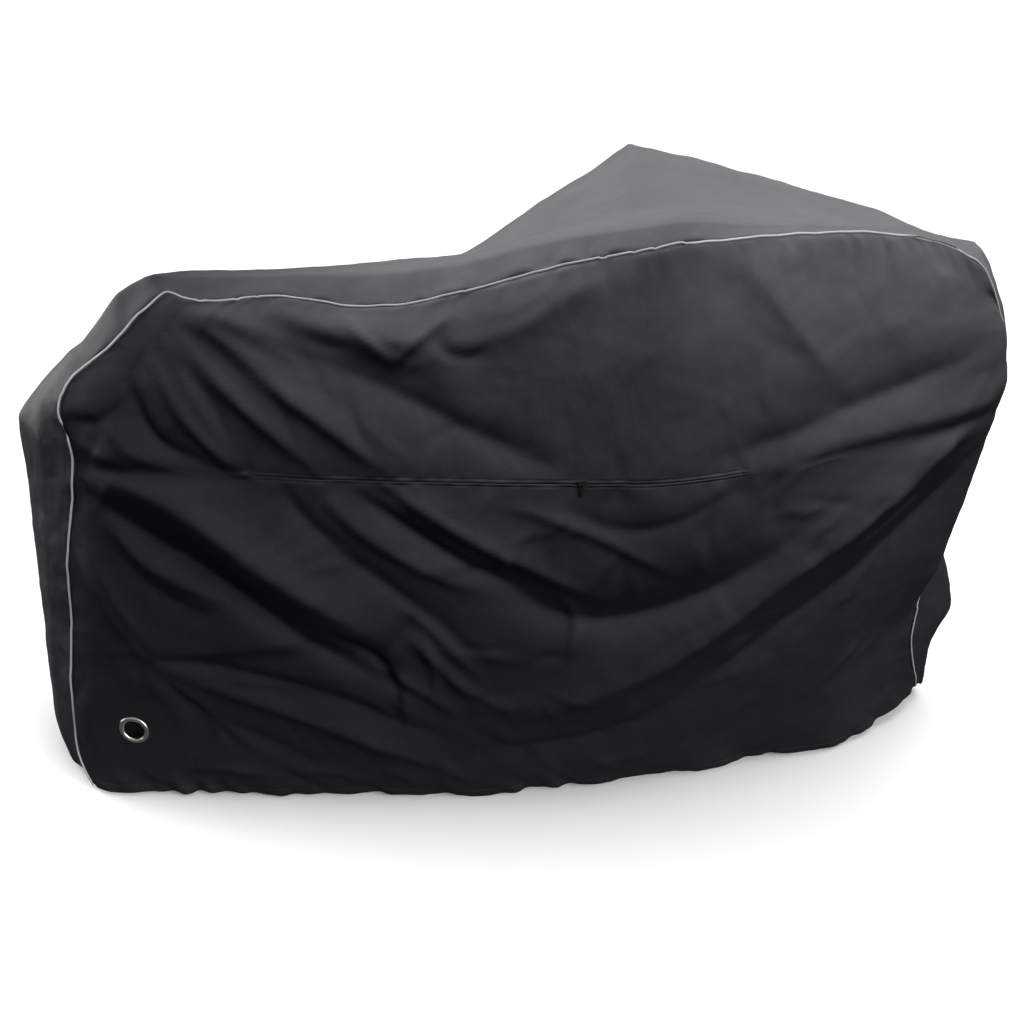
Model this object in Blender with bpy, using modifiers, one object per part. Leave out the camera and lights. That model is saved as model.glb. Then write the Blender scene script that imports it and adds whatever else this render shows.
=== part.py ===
"""Bicycle cover: two side panels and a centre strip of coated cloth, piped seams, a zip and a lock eyelet.

The cover has the shape in which it hangs over a bicycle, which is not built. Units are metres: +X runs
to the front of the bicycle, +Y to its far side, +Z is up, and z = 0 is the floor.
"""

from collections import namedtuple

import bmesh
import bpy
import numpy as np
from mathutils import Matrix, Vector

# Driving dimensions
CLOTH = 0.0015
GAP = 0.0003
PIPING_RADIUS = 0.0025
SEAM_INSET = PIPING_RADIUS + GAP

ZIP_START = -0.444
ZIP_END = 0.355
ZIP_BACK_LEVEL = 0.667
ZIP_RISE = 0.030
ZIP_SLOT = 0.008
TAPE_LIP = 0.015
TAPE_THICKNESS = 0.001
TAPE_GAP = 0.0006
COIL_WIDTH = 0.005
COIL_THICKNESS = 0.0016
SLIDER_CELL = 18
SLIDER_SIZE = (0.014, 0.009, 0.0032)
SLIDER_ROUNDING = 0.0009
PULL_SIZE = (0.006, 0.024, 0.0014)
PULL_ROUNDING = 0.0004

EYELET_X = -0.716
EYELET_Z = 0.152
EYELET_OUTER = 0.029
EYELET_INNER = 0.020
EYELET_BARREL = 0.0216
EYELET_WASHER = 0.0265
EYELET_WASHER_THICKNESS = 0.0010
# The eyelet's rim on the cloth, as radius and height, from its outer edge inward
EYELET_RIM = ((EYELET_OUTER, 0), (EYELET_OUTER, 0.0008), (0.0272, 0.0020), (0.0236, 0.0024), (0.0212, 0.0016))
EYELET_STEPS = 32
EYELET_FLAT = 0.075
EYELET_BLEND = 0.125
CUTTER_LENGTH = 0.030

ROWS_BELOW_ZIP = 17
ROWS_ABOVE_ZIP = 10
COLUMNS_LEFT = 14
COLUMNS_ZIP = 28
COLUMNS_RIGHT = 18
STRIP_CELLS = 6
HEM_ROW = 0.022
END_ROUNDING = 0.012

# The back and front seams pull a side panel into shape, and their pull fades across it with these powers
# of the distance, for x, y and z.
BACK_PULL = (3, 6, 1)
FRONT_PULL = (3, 24, 1)
# A side panel swells out over its height and its width, more evenly with a lower and a higher power.
SWELL_UPWARD = 0.8
SWELL_ACROSS = 4
# Near its front edge a panel stands out in a shoulder, between the heights at which it begins and ends.
SHOULDER_HEIGHTS = (0.25, 0.37, 0.75, 0.90)
SHOULDER_POWER = 30

# Folds fade out toward the panel's edges (a share of its width), toward its top seam (in levels) and
# partly at the zip.
FOLD_STEPS = 24
FOLD_FADE = 0.6
EDGE_FADE = 0.04
SEAM_FADE = 0.3
ZIP_HOLD = 0.6
ZIP_HOLD_REACH = 0.02

# The strip's cross sections, from the hem at the back over the top to the hem at the front. Where no
# ridge is given, it lies between the seam and the crown, rounded out by END_ROUNDING.
Section = namedtuple("Section", "near_seam crown far_seam near_ridge far_ridge", defaults=(None, None))
SECTIONS = (
    Section((-.810, -.178, .003), (-.912, .000, .003), (-.806, .180, .003)),
    Section((-.833, -.160, .058), (-.921, .000, .055), (-.830, .165, .055)),
    Section((-.832, -.150, .190), (-.912, .000, .185), (-.832, .155, .185)),
    Section((-.812, -.145, .355), (-.902, .000, .350), (-.816, .150, .350)),
    Section((-.800, -.140, .480), (-.895, .000, .475), (-.808, .145, .475)),
    Section((-.774, -.140, .602), (-.888, .000, .598), (-.795, .140, .600)),
    Section((-.762, -.140, .700), (-.884, .000, .704), (-.780, .135, .695)),
    Section((-.775, -.132, .755), (-.834, .000, .766), (-.765, .130, .742)),
    Section((-.757, -.125, .803), (-.780, .000, .819), (-.745, .125, .785)),
    Section((-.700, -.120, .846), (-.714, .005, .864), (-.695, .122, .828),
            (-.718, -.048, .876), (-.706, .062, .850)),
    Section((-.655, -.120, .885), (-.662, .005, .922), (-.648, .122, .868),
            (-.671, -.055, .934), (-.655, .066, .905)),
    Section((-.605, -.120, .934), (-.606, .005, .950), (-.594, .126, .900),
            (-.613, -.065, .966), (-.600, .074, .932)),
    Section((-.576, -.118, .953), (-.572, .005, .954), (-.565, .130, .902),
            (-.575, -.070, .965), (-.568, .078, .934)),
    Section((-.530, -.138, .944), (-.530, .005, .954), (-.530, .136, .900),
            (-.530, -.084, .968), (-.530, .084, .932)),
    Section((-.405, -.162, .953), (-.400, .000, .953), (-.400, .160, .892),
            (-.400, -.120, .977), (-.400, .098, .930)),
    Section((-.235, -.220, .950), (-.225, .000, .965), (-.225, .195, .885),
            (-.230, -.170, .989), (-.225, .112, .934)),
    Section((-.100, -.252, .979), (-.090, .000, .975), (-.085, .235, .890),
            (-.098, -.212, 1.014), (-.080, .150, .936)),
    Section((.050, -.292, 1.028), (.070, .000, 1.012), (.075, .300, .955),
            (.055, -.262, 1.062), (.074, .240, 1.014)),
    Section((.138, -.315, 1.051), (.165, .000, 1.040), (.172, .334, 1.010),
            (.145, -.292, 1.081), (.179, .290, 1.059)),
    Section((.225, -.335, 1.069), (.258, .000, 1.054), (.255, .350, 1.052),
            (.238, -.316, 1.097), (.261, .322, 1.098)),
    Section((.320, -.320, 1.071), (.360, .000, 1.052), (.353, .347, 1.030),
            (.345, -.292, 1.085), (.363, .315, 1.070)),
    Section((.515, -.250, 1.060), (.550, .000, 1.032), (.560, .298, .975),
            (.540, -.212, 1.059), (.559, .262, 1.014)),
    Section((.674, -.190, 1.028), (.715, .000, 1.002), (.722, .218, .938),
            (.700, -.120, 1.026), (.726, .180, .976)),
    Section((.735, -.162, 1.006), (.785, .000, .988), (.780, .182, .928),
            (.765, -.090, 1.004), (.787, .135, .963)),
    Section((.790, -.140, .974), (.846, .010, .974), (.812, .155, .912),
            (.825, -.070, .982), (.836, .095, .958)),
    Section((.850, -.115, .886), (.887, .000, .876), (.845, .132, .846)),
    Section((.877, -.095, .838), (.899, .005, .825), (.857, .130, .806)),
    Section((.885, -.072, .770), (.902, .020, .760), (.862, .130, .748)),
    Section((.880, -.062, .690), (.895, .028, .688), (.856, .132, .688)),
    Section((.862, -.058, .570), (.880, .032, .568), (.842, .132, .570)),
    Section((.842, -.060, .460), (.866, .032, .458), (.826, .130, .460)),
    Section((.818, -.070, .360), (.884, .025, .352), (.815, .124, .360)),
    Section((.800, -.090, .270), (.912, .012, .260), (.812, .118, .270)),
    Section((.794, -.100, .210), (.920, .008, .208), (.810, .118, .205)),
    Section((.806, -.096, .155), (.892, .008, .148), (.806, .115, .150)),
    Section((.830, -.072, .098), (.882, .010, .086), (.808, .110, .090)),
    Section((.853, -.038, .041), (.886, .022, .014), (.806, .112, .003)),
)
BACK_CORNER = 12
FRONT_CORNER = 24
LAST_SECTION = len(SECTIONS) - 1

# The hems of the side panels, from back to front
NEAR_HEM = (
    (-.810, -.178, .003),
    (-.770, -.200, .003),
    (-.704, -.208, .003),
    (-.420, -.227, .003),
    (-.138, -.250, .003),
    (.151, -.248, .003),
    (.480, -.198, .003),
    (.660, -.161, .005),
    (.737, -.117, .017),
    (.800, -.080, .033),
    (.853, -.038, .041),
)
FAR_HEM = (
    (-.806, .180, .003),
    (-.770, .200, .003),
    (-.400, .236, .003),
    (-.100, .252, .003),
    (.150, .246, .003),
    (.400, .220, .003),
    (.600, .186, .003),
    (.730, .148, .003),
    (.806, .112, .003),
)

# A fold runs along a bent line on a panel, given by x and z at its start, middle and end. It stands out by
# its height, or sinks in if that is negative, and fades out over its reach above and below the line.
Fold = namedtuple("Fold", "start middle end height above below")
NEAR_FOLDS = (
    # slung between the saddle and the grip
    Fold((-.420, .945), (-.270, .885), (-.090, .870), .016, .070, .060),
    Fold((-.125, .880), (-.050, .910), (.125, 1.020), .010, .060, .055),
    Fold((-.360, .880), (-.160, .805), (.060, .690), -.014, .050, .050),
    # fanned out from the saddle corner
    Fold((-.555, .945), (-.395, .805), (-.215, .685), .014, .040, .025),
    Fold((-.530, .935), (-.435, .895), (-.360, .855), .007, .025, .025),
    Fold((-.590, .890), (-.460, .795), (-.335, .680), .011, .030, .025),
    Fold((-.610, .865), (-.565, .740), (-.450, .665), .012, .030, .025),
    Fold((-.645, .830), (-.645, .715), (-.530, .690), -.014, .030, .025),
    Fold((-.735, .795), (-.660, .675), (-.530, .665), .008, .025, .025),
    # down from the back seam
    Fold((-.715, .690), (-.565, .605), (-.250, .370), .026, .055, .025),
    Fold((-.705, .645), (-.550, .525), (-.270, .335), -.016, .025, .030),
    Fold((-.710, .560), (-.645, .425), (-.530, .410), -.007, .025, .025),
    Fold((-.715, .595), (-.660, .480), (-.500, .435), .012, .030, .025),
    Fold((-.780, .520), (-.745, .400), (-.675, .320), .010, .035, .025),
    # spread from the point over the eyelet
    Fold((-.675, .320), (-.505, .350), (-.315, .385), .012, .075, .025),
    Fold((-.665, .315), (-.495, .330), (-.155, .160), -.014, .030, .025),
    Fold((-.665, .305), (-.450, .235), (-.120, .065), .014, .030, .030),
    Fold((-.670, .285), (-.530, .165), (-.340, .065), -.008, .030, .030),
    Fold((-.670, .305), (-.660, .205), (-.620, .065), .007, .030, .030),
    # hanging from the zip
    Fold((-.330, .655), (-.270, .545), (-.080, .475), .010, .030, .025),
    Fold((-.405, .665), (-.370, .595), (-.295, .550), -.008, .025, .025),
    Fold((-.290, .665), (-.170, .560), (-.015, .485), -.012, .025, .025),
    Fold((-.230, .665), (-.105, .575), (.125, .460), .014, .030, .025),
    Fold((-.330, .560), (-.250, .500), (-.100, .360), -.010, .035, .025),
    Fold((-.065, .520), (.120, .295), (.460, .535), -.016, .040, .040),
    Fold((.050, .655), (.175, .540), (.335, .655), -.008, .030, .025),
    # drawn in from the front corner
    Fold((.880, .735), (.595, .560), (.310, .350), .022, .055, .040),
    Fold((.380, .400), (.275, .310), (-.045, .190), .014, .055, .040),
    Fold((.880, .650), (.550, .400), (.250, .205), -.016, .035, .055),
    Fold((.285, .220), (.150, .120), (-.100, .125), -.010, .030, .035),
    Fold((.820, .830), (.560, .775), (.300, .715), -.014, .035, .025),
    Fold((.890, .730), (.610, .725), (.405, .685), .008, .030, .025),
    Fold((.280, 1.040), (.350, .910), (.470, .790), -.008, .030, .030),
)
FAR_FOLDS = (
    Fold((-.480, .860), (-.260, .820), (-.020, .840), .014, .070, .060),
    Fold((-.540, .860), (-.400, .720), (-.180, .600), .012, .040, .030),
    Fold((-.600, .800), (-.560, .660), (-.420, .560), -.012, .040, .040),
    Fold((-.740, .700), (-.540, .520), (-.220, .360), .020, .055, .035),
    Fold((-.760, .560), (-.620, .420), (-.380, .250), -.012, .040, .040),
    Fold((-.700, .300), (-.460, .200), (-.160, .120), .010, .045, .040),
    Fold((.250, 1.010), (.100, .800), (-.120, .640), .010, .050, .045),
    Fold((.300, 1.000), (.360, .800), (.520, .640), -.012, .045, .045),
    Fold((.820, .740), (.560, .560), (.240, .420), .018, .060, .045),
    Fold((.820, .600), (.540, .380), (.160, .260), -.012, .045, .055),
    Fold((-.180, .520), (.080, .380), (.420, .460), -.012, .050, .050),
    Fold((.760, .260), (.520, .160), (.220, .110), .008, .040, .040),
)

Side = namedtuple("Side", "seam hem outward bulge shoulder folds")
NEAR = Side("near_seam", NEAR_HEM, -1, 0.055, 0.038, NEAR_FOLDS)
FAR = Side("far_seam", FAR_HEM, 1, 0.050, 0.012, FAR_FOLDS)

BLACK_CLOTH = ((0.020, 0.021, 0.023, 1), 0.55, 0)
PIPING_GREY = ((0.50, 0.51, 0.52, 1), 0.45, 0)
BLACK_PLASTIC = ((0.015, 0.015, 0.016, 1), 0.40, 0)
BLACK_METAL = ((0.050, 0.050, 0.052, 1), 0.35, 1)
BRIGHT_METAL = ((0.80, 0.80, 0.82, 1), 0.20, 1)


def unit(vectors):
    """The vectors at length 1."""
    return vectors / np.maximum(np.linalg.norm(vectors, axis=-1, keepdims=True), 1e-12)


def spline(points, where):
    """The smooth curve through points, at where = 0 for the first point, 1 for the second and so on."""
    points = np.asarray(points, float)
    where = np.clip(np.asarray(where, float), 0, len(points) - 1)
    span = np.minimum(where.astype(int), len(points) - 2)
    along = (where - span)[..., None]
    chord = np.maximum(np.linalg.norm(np.diff(points, axis=0), axis=1), 1e-9)[:, None]
    slope = np.diff(points, axis=0) / chord
    before, after = np.concatenate((slope[:1], slope)), np.concatenate((slope, slope[-1:]))
    near, far = np.concatenate((chord[:1], chord)), np.concatenate((chord, chord[-1:]))
    tangent = (before * far + after * near) / (near + far)
    rise = along ** 2 * (3 - 2 * along)
    leave = along * (1 - along) ** 2 * chord[span]
    arrive = along ** 2 * (along - 1) * chord[span]
    return ((1 - rise) * points[span] + rise * points[span + 1]
            + leave * tangent[span] + arrive * tangent[span + 1])


def ridge(seam, crown):
    """A point between a seam and the crown at an end of the strip, rounded out."""
    seam, crown = np.array(seam), np.array(crown)
    across = unit(crown - seam)
    outward = np.array((np.sign(crown[0]), 0, 0))
    return (seam + crown) / 2 + END_ROUNDING * unit(outward - across * np.dot(outward, across))


def guide(name, where):
    """The line through one named point of all sections, at the given section numbers."""
    line = []
    for section in SECTIONS:
        point = getattr(section, name)
        if point is None:
            point = ridge(getattr(section, name.replace("ridge", "seam")), section.crown)
        line.append(point)
    return spline(line, where)


def seam_places(name, axis, values, first, last):
    """The section numbers, between two sections, at which a seam has the given coordinates."""
    places = np.linspace(first, last, 600)
    coordinates = guide(name, places)[:, axis]
    order = np.argsort(coordinates)
    return np.interp(values, coordinates[order], places[order])


def hem_points(side, across):
    """The points of a side panel's hem, where across runs from 0 at the back to 1 at the front."""
    places = np.linspace(0, len(side.hem) - 1, 600)
    line = spline(side.hem, places)
    share = (line[:, 0] - line[0, 0]) / (line[-1, 0] - line[0, 0])
    return spline(side.hem, np.interp(across, share, places))


def zip_height(across):
    """The height of the zip's line at places across a panel."""
    return ZIP_BACK_LEVEL + ZIP_RISE * across


def heights(across, levels, low, high):
    """Heights for levels 0 to 1 from a hem to the zip, 1 to 2 over the zip, and 2 to 3 up to a seam."""
    middle = zip_height(across)
    knots = np.stack((low, middle - ZIP_SLOT / 2, middle + ZIP_SLOT / 2, high))
    span = np.minimum(levels.astype(int), 2)
    along = (levels - span)[:, None]
    return knots[span] * (1 - along) + knots[span + 1] * along


def panel_base(side, across, levels):
    """A side panel without folds, as rows of points, and the section numbers of its three seams."""
    low = hem_points(side, across)
    back_x, front_x = guide(side.seam, np.array((BACK_CORNER, FRONT_CORNER)))[:, 0]
    top = seam_places(side.seam, 0, back_x + across * (front_x - back_x), BACK_CORNER, FRONT_CORNER)
    high = guide(side.seam, top)
    z = heights(across, levels, low[:, 2], high[:, 2])
    share = ((z - low[:, 2]) / (high[:, 2] - low[:, 2]))[..., None]
    points = low * (1 - share) + high * share
    back = seam_places(side.seam, 2, z[:, 0], 0, BACK_CORNER)
    front = seam_places(side.seam, 2, z[:, -1], FRONT_CORNER, LAST_SECTION)
    back_pull = (guide(side.seam, back) - points[:, 0])[:, None]
    front_pull = (guide(side.seam, front) - points[:, -1])[:, None]
    s = across[None, :, None]
    points = points + back_pull * (1 - s) ** np.array(BACK_PULL) + front_pull * s ** np.array(FRONT_PULL)
    swell = (4 * share * (1 - share)) ** SWELL_UPWARD * (1 - abs(2 * s - 1) ** SWELL_ACROSS)
    corner = across ** SHOULDER_POWER
    corner = 4 * corner * (1 - corner) * np.interp(z, SHOULDER_HEIGHTS, (0, 1, 1, 0))
    points[..., 1] += side.outward * side.bulge * swell[..., 0]
    points[..., 0] += side.shoulder * corner
    return points, back, top, front


def surface_normals(points, outward):
    """Unit normals of a grid of points that face outward."""
    across = np.gradient(points, axis=1)
    up = np.gradient(points, axis=0)
    normals = unit(np.cross(across, up))
    return normals * np.sign((normals[..., 1] * outward).mean())


def fold_height(fold, x, z):
    """How far a fold lifts the cloth at each place."""
    t = np.linspace(0, 1, FOLD_STEPS + 1)[:, None]
    start, middle, end = (np.array(p) for p in (fold.start, fold.middle, fold.end))
    line = start * (1 - t) ** 2 + 2 * middle * t * (1 - t) + end * t ** 2
    steps = np.diff(line, axis=0)
    dx, dz = x[..., None] - line[:-1, 0], z[..., None] - line[:-1, 1]
    length = (steps ** 2).sum(axis=1)
    along = np.clip((dx * steps[:, 0] + dz * steps[:, 1]) / length, 0, 1)
    offset_x, offset_z = dx - along * steps[:, 0], dz - along * steps[:, 1]
    nearest = np.argmin(offset_x ** 2 + offset_z ** 2, axis=-1)[..., None]
    offset_x = np.take_along_axis(offset_x, nearest, -1)[..., 0]
    offset_z = np.take_along_axis(offset_z, nearest, -1)[..., 0]
    place = (np.take_along_axis(along, nearest, -1)[..., 0] + nearest[..., 0]) / len(steps)
    step_x, step_z = steps[nearest[..., 0], 0], steps[nearest[..., 0], 1]
    side = np.sign(step_x * offset_z - step_z * offset_x) * np.sign(end[0] - start[0])
    reach = np.where(side > 0, fold.above, fold.below)
    fade = np.sin(np.pi * np.clip(place, 0.02, 0.98)) ** FOLD_FADE
    return fold.height * fade * np.exp(-2 * (offset_x ** 2 + offset_z ** 2) / reach ** 2)


def panel(side, across, levels):
    """A side panel with its folds, as rows of points, and the section numbers of its three seams."""
    points, back, top, front = panel_base(side, across, levels)
    normals = surface_normals(points, side.outward)
    x, z = points[..., 0], points[..., 2]
    lift = sum((fold_height(fold, x, z) for fold in side.folds), np.zeros_like(x))
    edges = np.clip(np.minimum(across, 1 - across) / EDGE_FADE, 0, 1)
    edges = edges * np.clip((3 - levels[:, None]) / SEAM_FADE, 0, 1)
    held = ZIP_HOLD * np.exp(-((z - zip_height(across)) / ZIP_HOLD_REACH) ** 2)
    return points + normals * (lift * edges * (1 - held))[..., None], back, top, front


def zip_columns(side):
    """Places across a panel, 0 to 1, that put a column at each end of the zip."""
    across = np.linspace(0, 1, 400)
    x = panel_base(side, across, np.array((1.0,)))[0][0, :, 0]
    start, end = np.interp((ZIP_START, ZIP_END), x, across)
    return np.concatenate((np.linspace(0, start, COLUMNS_LEFT + 1),
                           np.linspace(start, end, COLUMNS_ZIP + 1)[1:],
                           np.linspace(end, 1, COLUMNS_RIGHT + 1)[1:]))


def row_levels():
    """Levels of a panel's rows: the hem, up to the zip's slot with a row under and over it, and the seam."""
    hem, lip = HEM_ROW / ZIP_BACK_LEVEL, TAPE_LIP / ZIP_BACK_LEVEL
    return np.concatenate(((0,), np.linspace(hem, 1 - lip, ROWS_BELOW_ZIP), (1, 2),
                           np.linspace(2 + lip * 2, 3, ROWS_ABOVE_ZIP)))


def flattened(points, side):
    """The panel's points with the cloth under the eyelet made flat, and that place and its normal."""
    distance = np.hypot(points[..., 0] - EYELET_X, points[..., 2] - EYELET_Z)
    nearby = distance < EYELET_FLAT
    centre = points[nearby].mean(axis=0)
    normal = np.linalg.svd(points[nearby] - centre)[2][2]
    normal = normal * np.sign(normal[1] * side.outward)
    height = (points - centre) @ normal
    share = np.clip((EYELET_BLEND - distance) / (EYELET_BLEND - EYELET_FLAT), 0, 1)
    points = points - (height * share * share * (3 - 2 * share))[..., None] * normal
    place = centre + np.array((EYELET_X - centre[0], 0, EYELET_Z - centre[2]))
    return points, place - normal * np.dot(place - centre, normal), normal


def inset(edge, normals, inner):
    """The points of an edge moved in along the cloth, away from the piping in its seam."""
    steps = unit(np.diff(edge, axis=0))
    before, after = np.concatenate((steps[:1], steps)), np.concatenate((steps, steps[-1:]))
    along = unit(before + after)
    inward = unit(np.cross(normals, along))
    inward = inward * np.sign(((inner - edge) * inward).sum(axis=1).mean())
    stretch = 1 / np.maximum((along * after).sum(axis=1, keepdims=True), 0.5)
    return edge + inward * SEAM_INSET * stretch


def panel_inset(points, outward):
    """A side panel's points with its back, top and front edges clear of the piping."""
    rows, columns = points.shape[:2]
    row = np.concatenate((np.arange(rows), np.full(columns - 2, rows - 1), np.arange(rows)[::-1]))
    column = np.concatenate((np.zeros(rows, int), np.arange(1, columns - 1), np.full(rows, columns - 1)))
    normals = surface_normals(points, outward)
    moved = points.copy()
    moved[row, column] = inset(points[row, column], normals[row, column], points[rows // 2, columns // 2])
    return moved


def strip_inset(points):
    """The centre strip's points with both long edges clear of the piping."""
    normals = unit(np.cross(np.gradient(points, axis=0), np.gradient(points, axis=1)))
    moved = points.copy()
    for edge, inner in ((0, 1), (-1, -2)):
        moved[:, edge] = inset(points[:, edge], normals[:, edge], points[:, inner])
    return moved


def strip_points(near_places, far_places, cells):
    """The centre strip as rows of points from the near seam over the crown to the far seam."""
    across = np.linspace(0, 1, cells + 1)
    columns = []
    for share in across:
        places = near_places * (1 - share) + far_places * share
        guides = np.stack([guide(name, places) for name in
                           ("near_seam", "near_ridge", "crown", "far_ridge", "far_seam")])
        columns.append(np.stack([spline(guides[:, row], share * 4) for row in range(len(places))]))
    return np.stack(columns, axis=1)


def material(name, finish):
    """A material of one colour."""
    colour, roughness, metallic = finish
    made = bpy.data.materials.new(name)
    made.use_nodes = True
    shader = made.node_tree.nodes["Principled BSDF"]
    shader.inputs["Base Color"].default_value = colour
    shader.inputs["Roughness"].default_value = roughness
    shader.inputs["Metallic"].default_value = metallic
    return made


def add_mesh(name, build, collection, finish):
    """An object whose mesh is filled by build, a function of a bmesh."""
    mesh = bpy.data.meshes.new(name)
    shape = bmesh.new()
    build(shape)
    shape.to_mesh(mesh)
    shape.free()
    made = bpy.data.objects.new(name, mesh)
    made.data.materials.append(material(name, finish))
    collection.objects.link(made)
    return made


def loft(shape, points, middles, slot):
    """Faces between rows of points, split along the diagonal that lies closer to the middles of the cells.

    The cells of one row between two columns are left out where a slot is given.
    """
    rows, columns = points.shape[:2]
    corners = [[shape.verts.new(point) for point in row] for row in points]
    rising = np.linalg.norm((points[:-1, :-1] + points[1:, 1:]) / 2 - middles, axis=-1)
    falling = np.linalg.norm((points[:-1, 1:] + points[1:, :-1]) / 2 - middles, axis=-1)
    for row in range(rows - 1):
        for column in range(columns - 1):
            if slot and row == slot[0] and slot[1] <= column < slot[2]:
                continue
            ring = [corners[row][column], corners[row][column + 1],
                    corners[row + 1][column + 1], corners[row + 1][column]]
            if falling[row, column] < rising[row, column]:
                ring = ring[1:] + ring[:1]
            shape.faces.new(ring[:3])
            shape.faces.new((ring[0], ring[2], ring[3]))
    bmesh.ops.recalc_face_normals(shape, faces=shape.faces)


def coarse_loft(shape, points, across_step):
    """Faces over two rows and across_step columns of points, which keep every point of the outer edges."""
    rows, columns = points.shape[:2]
    row_stops = [*range(0, rows - 1, 2), rows - 1]
    column_stops = [*range(0, columns - 1, across_step), columns - 1]
    corners = {}
    for row, column in np.ndindex(rows, columns):
        on_edge = row in (0, rows - 1) or column in (0, columns - 1)
        if on_edge or (row in row_stops and column in column_stops):
            corners[row, column] = shape.verts.new(points[row, column])
    for low, high in zip(row_stops, row_stops[1:]):
        for left, right in zip(column_stops, column_stops[1:]):
            ring = [(low, column) for column in range(left, right)]
            ring += [(row, right) for row in range(low, high)]
            ring += [(high, column) for column in range(right, left, -1)]
            ring += [(row, left) for row in range(high, low, -1)]
            shape.faces.new([corners[place] for place in ring if place in corners])
    bmesh.ops.recalc_face_normals(shape, faces=shape.faces)


def add_cloth(name, build, collection, finish, thickness=CLOTH):
    """A sheet of cloth over the surface that build makes."""
    made = add_mesh(name, build, collection, finish)
    solidify = made.modifiers.new("thickness", "SOLIDIFY")
    solidify.thickness = thickness
    solidify.offset = 0
    return made


def grid_middles(points):
    """The middles of the cells between rows of points."""
    return (points[:-1, :-1] + points[:-1, 1:] + points[1:, :-1] + points[1:, 1:]) / 4


def halved(places):
    """The places with one more halfway between each two."""
    return np.interp(np.arange(2 * len(places) - 1) / 2, np.arange(len(places)), places)


def add_piping(name, points, collection):
    """A cord through the points of a seam."""
    curve = bpy.data.curves.new(name, "CURVE")
    curve.dimensions = "3D"
    curve.bevel_depth = PIPING_RADIUS
    curve.bevel_resolution = 1
    curve.use_fill_caps = True
    line = curve.splines.new("POLY")
    line.points.add(len(points) - 1)
    for corner, point in zip(line.points, points):
        corner.co = (*point, 1)
    made = bpy.data.objects.new(name, curve)
    made.data.materials.append(material(name, PIPING_GREY))
    collection.objects.link(made)
    return made


def turned_to(place, along, normal):
    """The matrix that puts a piece at a place, its X along the zip and its Z facing out."""
    along, normal = Vector(along).normalized(), Vector(normal).normalized()
    up = normal.cross(along).normalized()
    along = up.cross(normal)
    return Matrix.Translation(Vector(place)) @ Matrix((along, up, normal)).transposed().to_4x4()


def add_block(name, size, place, collection, finish, rounding):
    """A rounded block."""
    def build(shape):
        bmesh.ops.create_cube(shape, size=1)
        bmesh.ops.scale(shape, vec=size, verts=shape.verts)

    made = add_mesh(name, build, collection, finish)
    made.matrix_world = place
    bevel = made.modifiers.new("rounding", "BEVEL")
    bevel.width = rounding
    bevel.segments = 2
    return made


def add_zip(points, middles, collection):
    """The tape behind the slot, the coil in it, the slider on the coil and its pull."""
    low = ROWS_BELOW_ZIP + 1
    span = slice(COLUMNS_LEFT, COLUMNS_LEFT + COLUMNS_ZIP + 1)
    normals = surface_normals(points, NEAR.outward)[:, span]
    cloth = points[low - 1:low + 3, span]
    depth = CLOTH / 2 + TAPE_GAP + TAPE_THICKNESS / 2
    behind = normals[low - 1:low + 3] * depth
    tape = cloth - behind
    tape_middles = middles[low - 1:low + 2, span][:, :-1] - grid_middles(behind)
    add_cloth("zip_tape", lambda shape: loft(shape, tape, tape_middles, None), collection, BLACK_CLOTH,
              TAPE_THICKNESS)

    middle = (tape[1] + tape[2]) / 2
    face = unit(normals[low] + normals[low + 1])
    up = unit(tape[2] - tape[1])
    coil = middle + face * (TAPE_THICKNESS / 2 + GAP + COIL_THICKNESS / 2)
    coil_rows = np.stack((coil - up * COIL_WIDTH / 2, coil + up * COIL_WIDTH / 2))[:, 1:-1]
    add_cloth("zip_coil", lambda shape: loft(shape, coil_rows, grid_middles(coil_rows), None), collection,
              BLACK_PLASTIC, COIL_THICKNESS)

    seat = (coil[SLIDER_CELL] + coil[SLIDER_CELL + 1]) / 2
    along = coil[SLIDER_CELL + 1] - coil[SLIDER_CELL]
    out = unit(np.cross(along, up[SLIDER_CELL] + up[SLIDER_CELL + 1]))
    out = out * np.sign(out[1] * NEAR.outward)
    rise = COIL_THICKNESS / 2 + 2 * GAP + SLIDER_SIZE[2] / 2
    slider = turned_to(seat + out * rise, along, out)
    add_block("zip_slider", SLIDER_SIZE, slider, collection, BLACK_METAL, SLIDER_ROUNDING)
    hang = Vector((0, -PULL_SIZE[1] / 2 + SLIDER_SIZE[1] / 4, SLIDER_SIZE[2] / 2 + GAP + PULL_SIZE[2] / 2))
    pull = slider @ Matrix.Translation(hang)
    add_block("zip_pull", PULL_SIZE, pull, collection, BLACK_METAL, PULL_ROUNDING)


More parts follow.
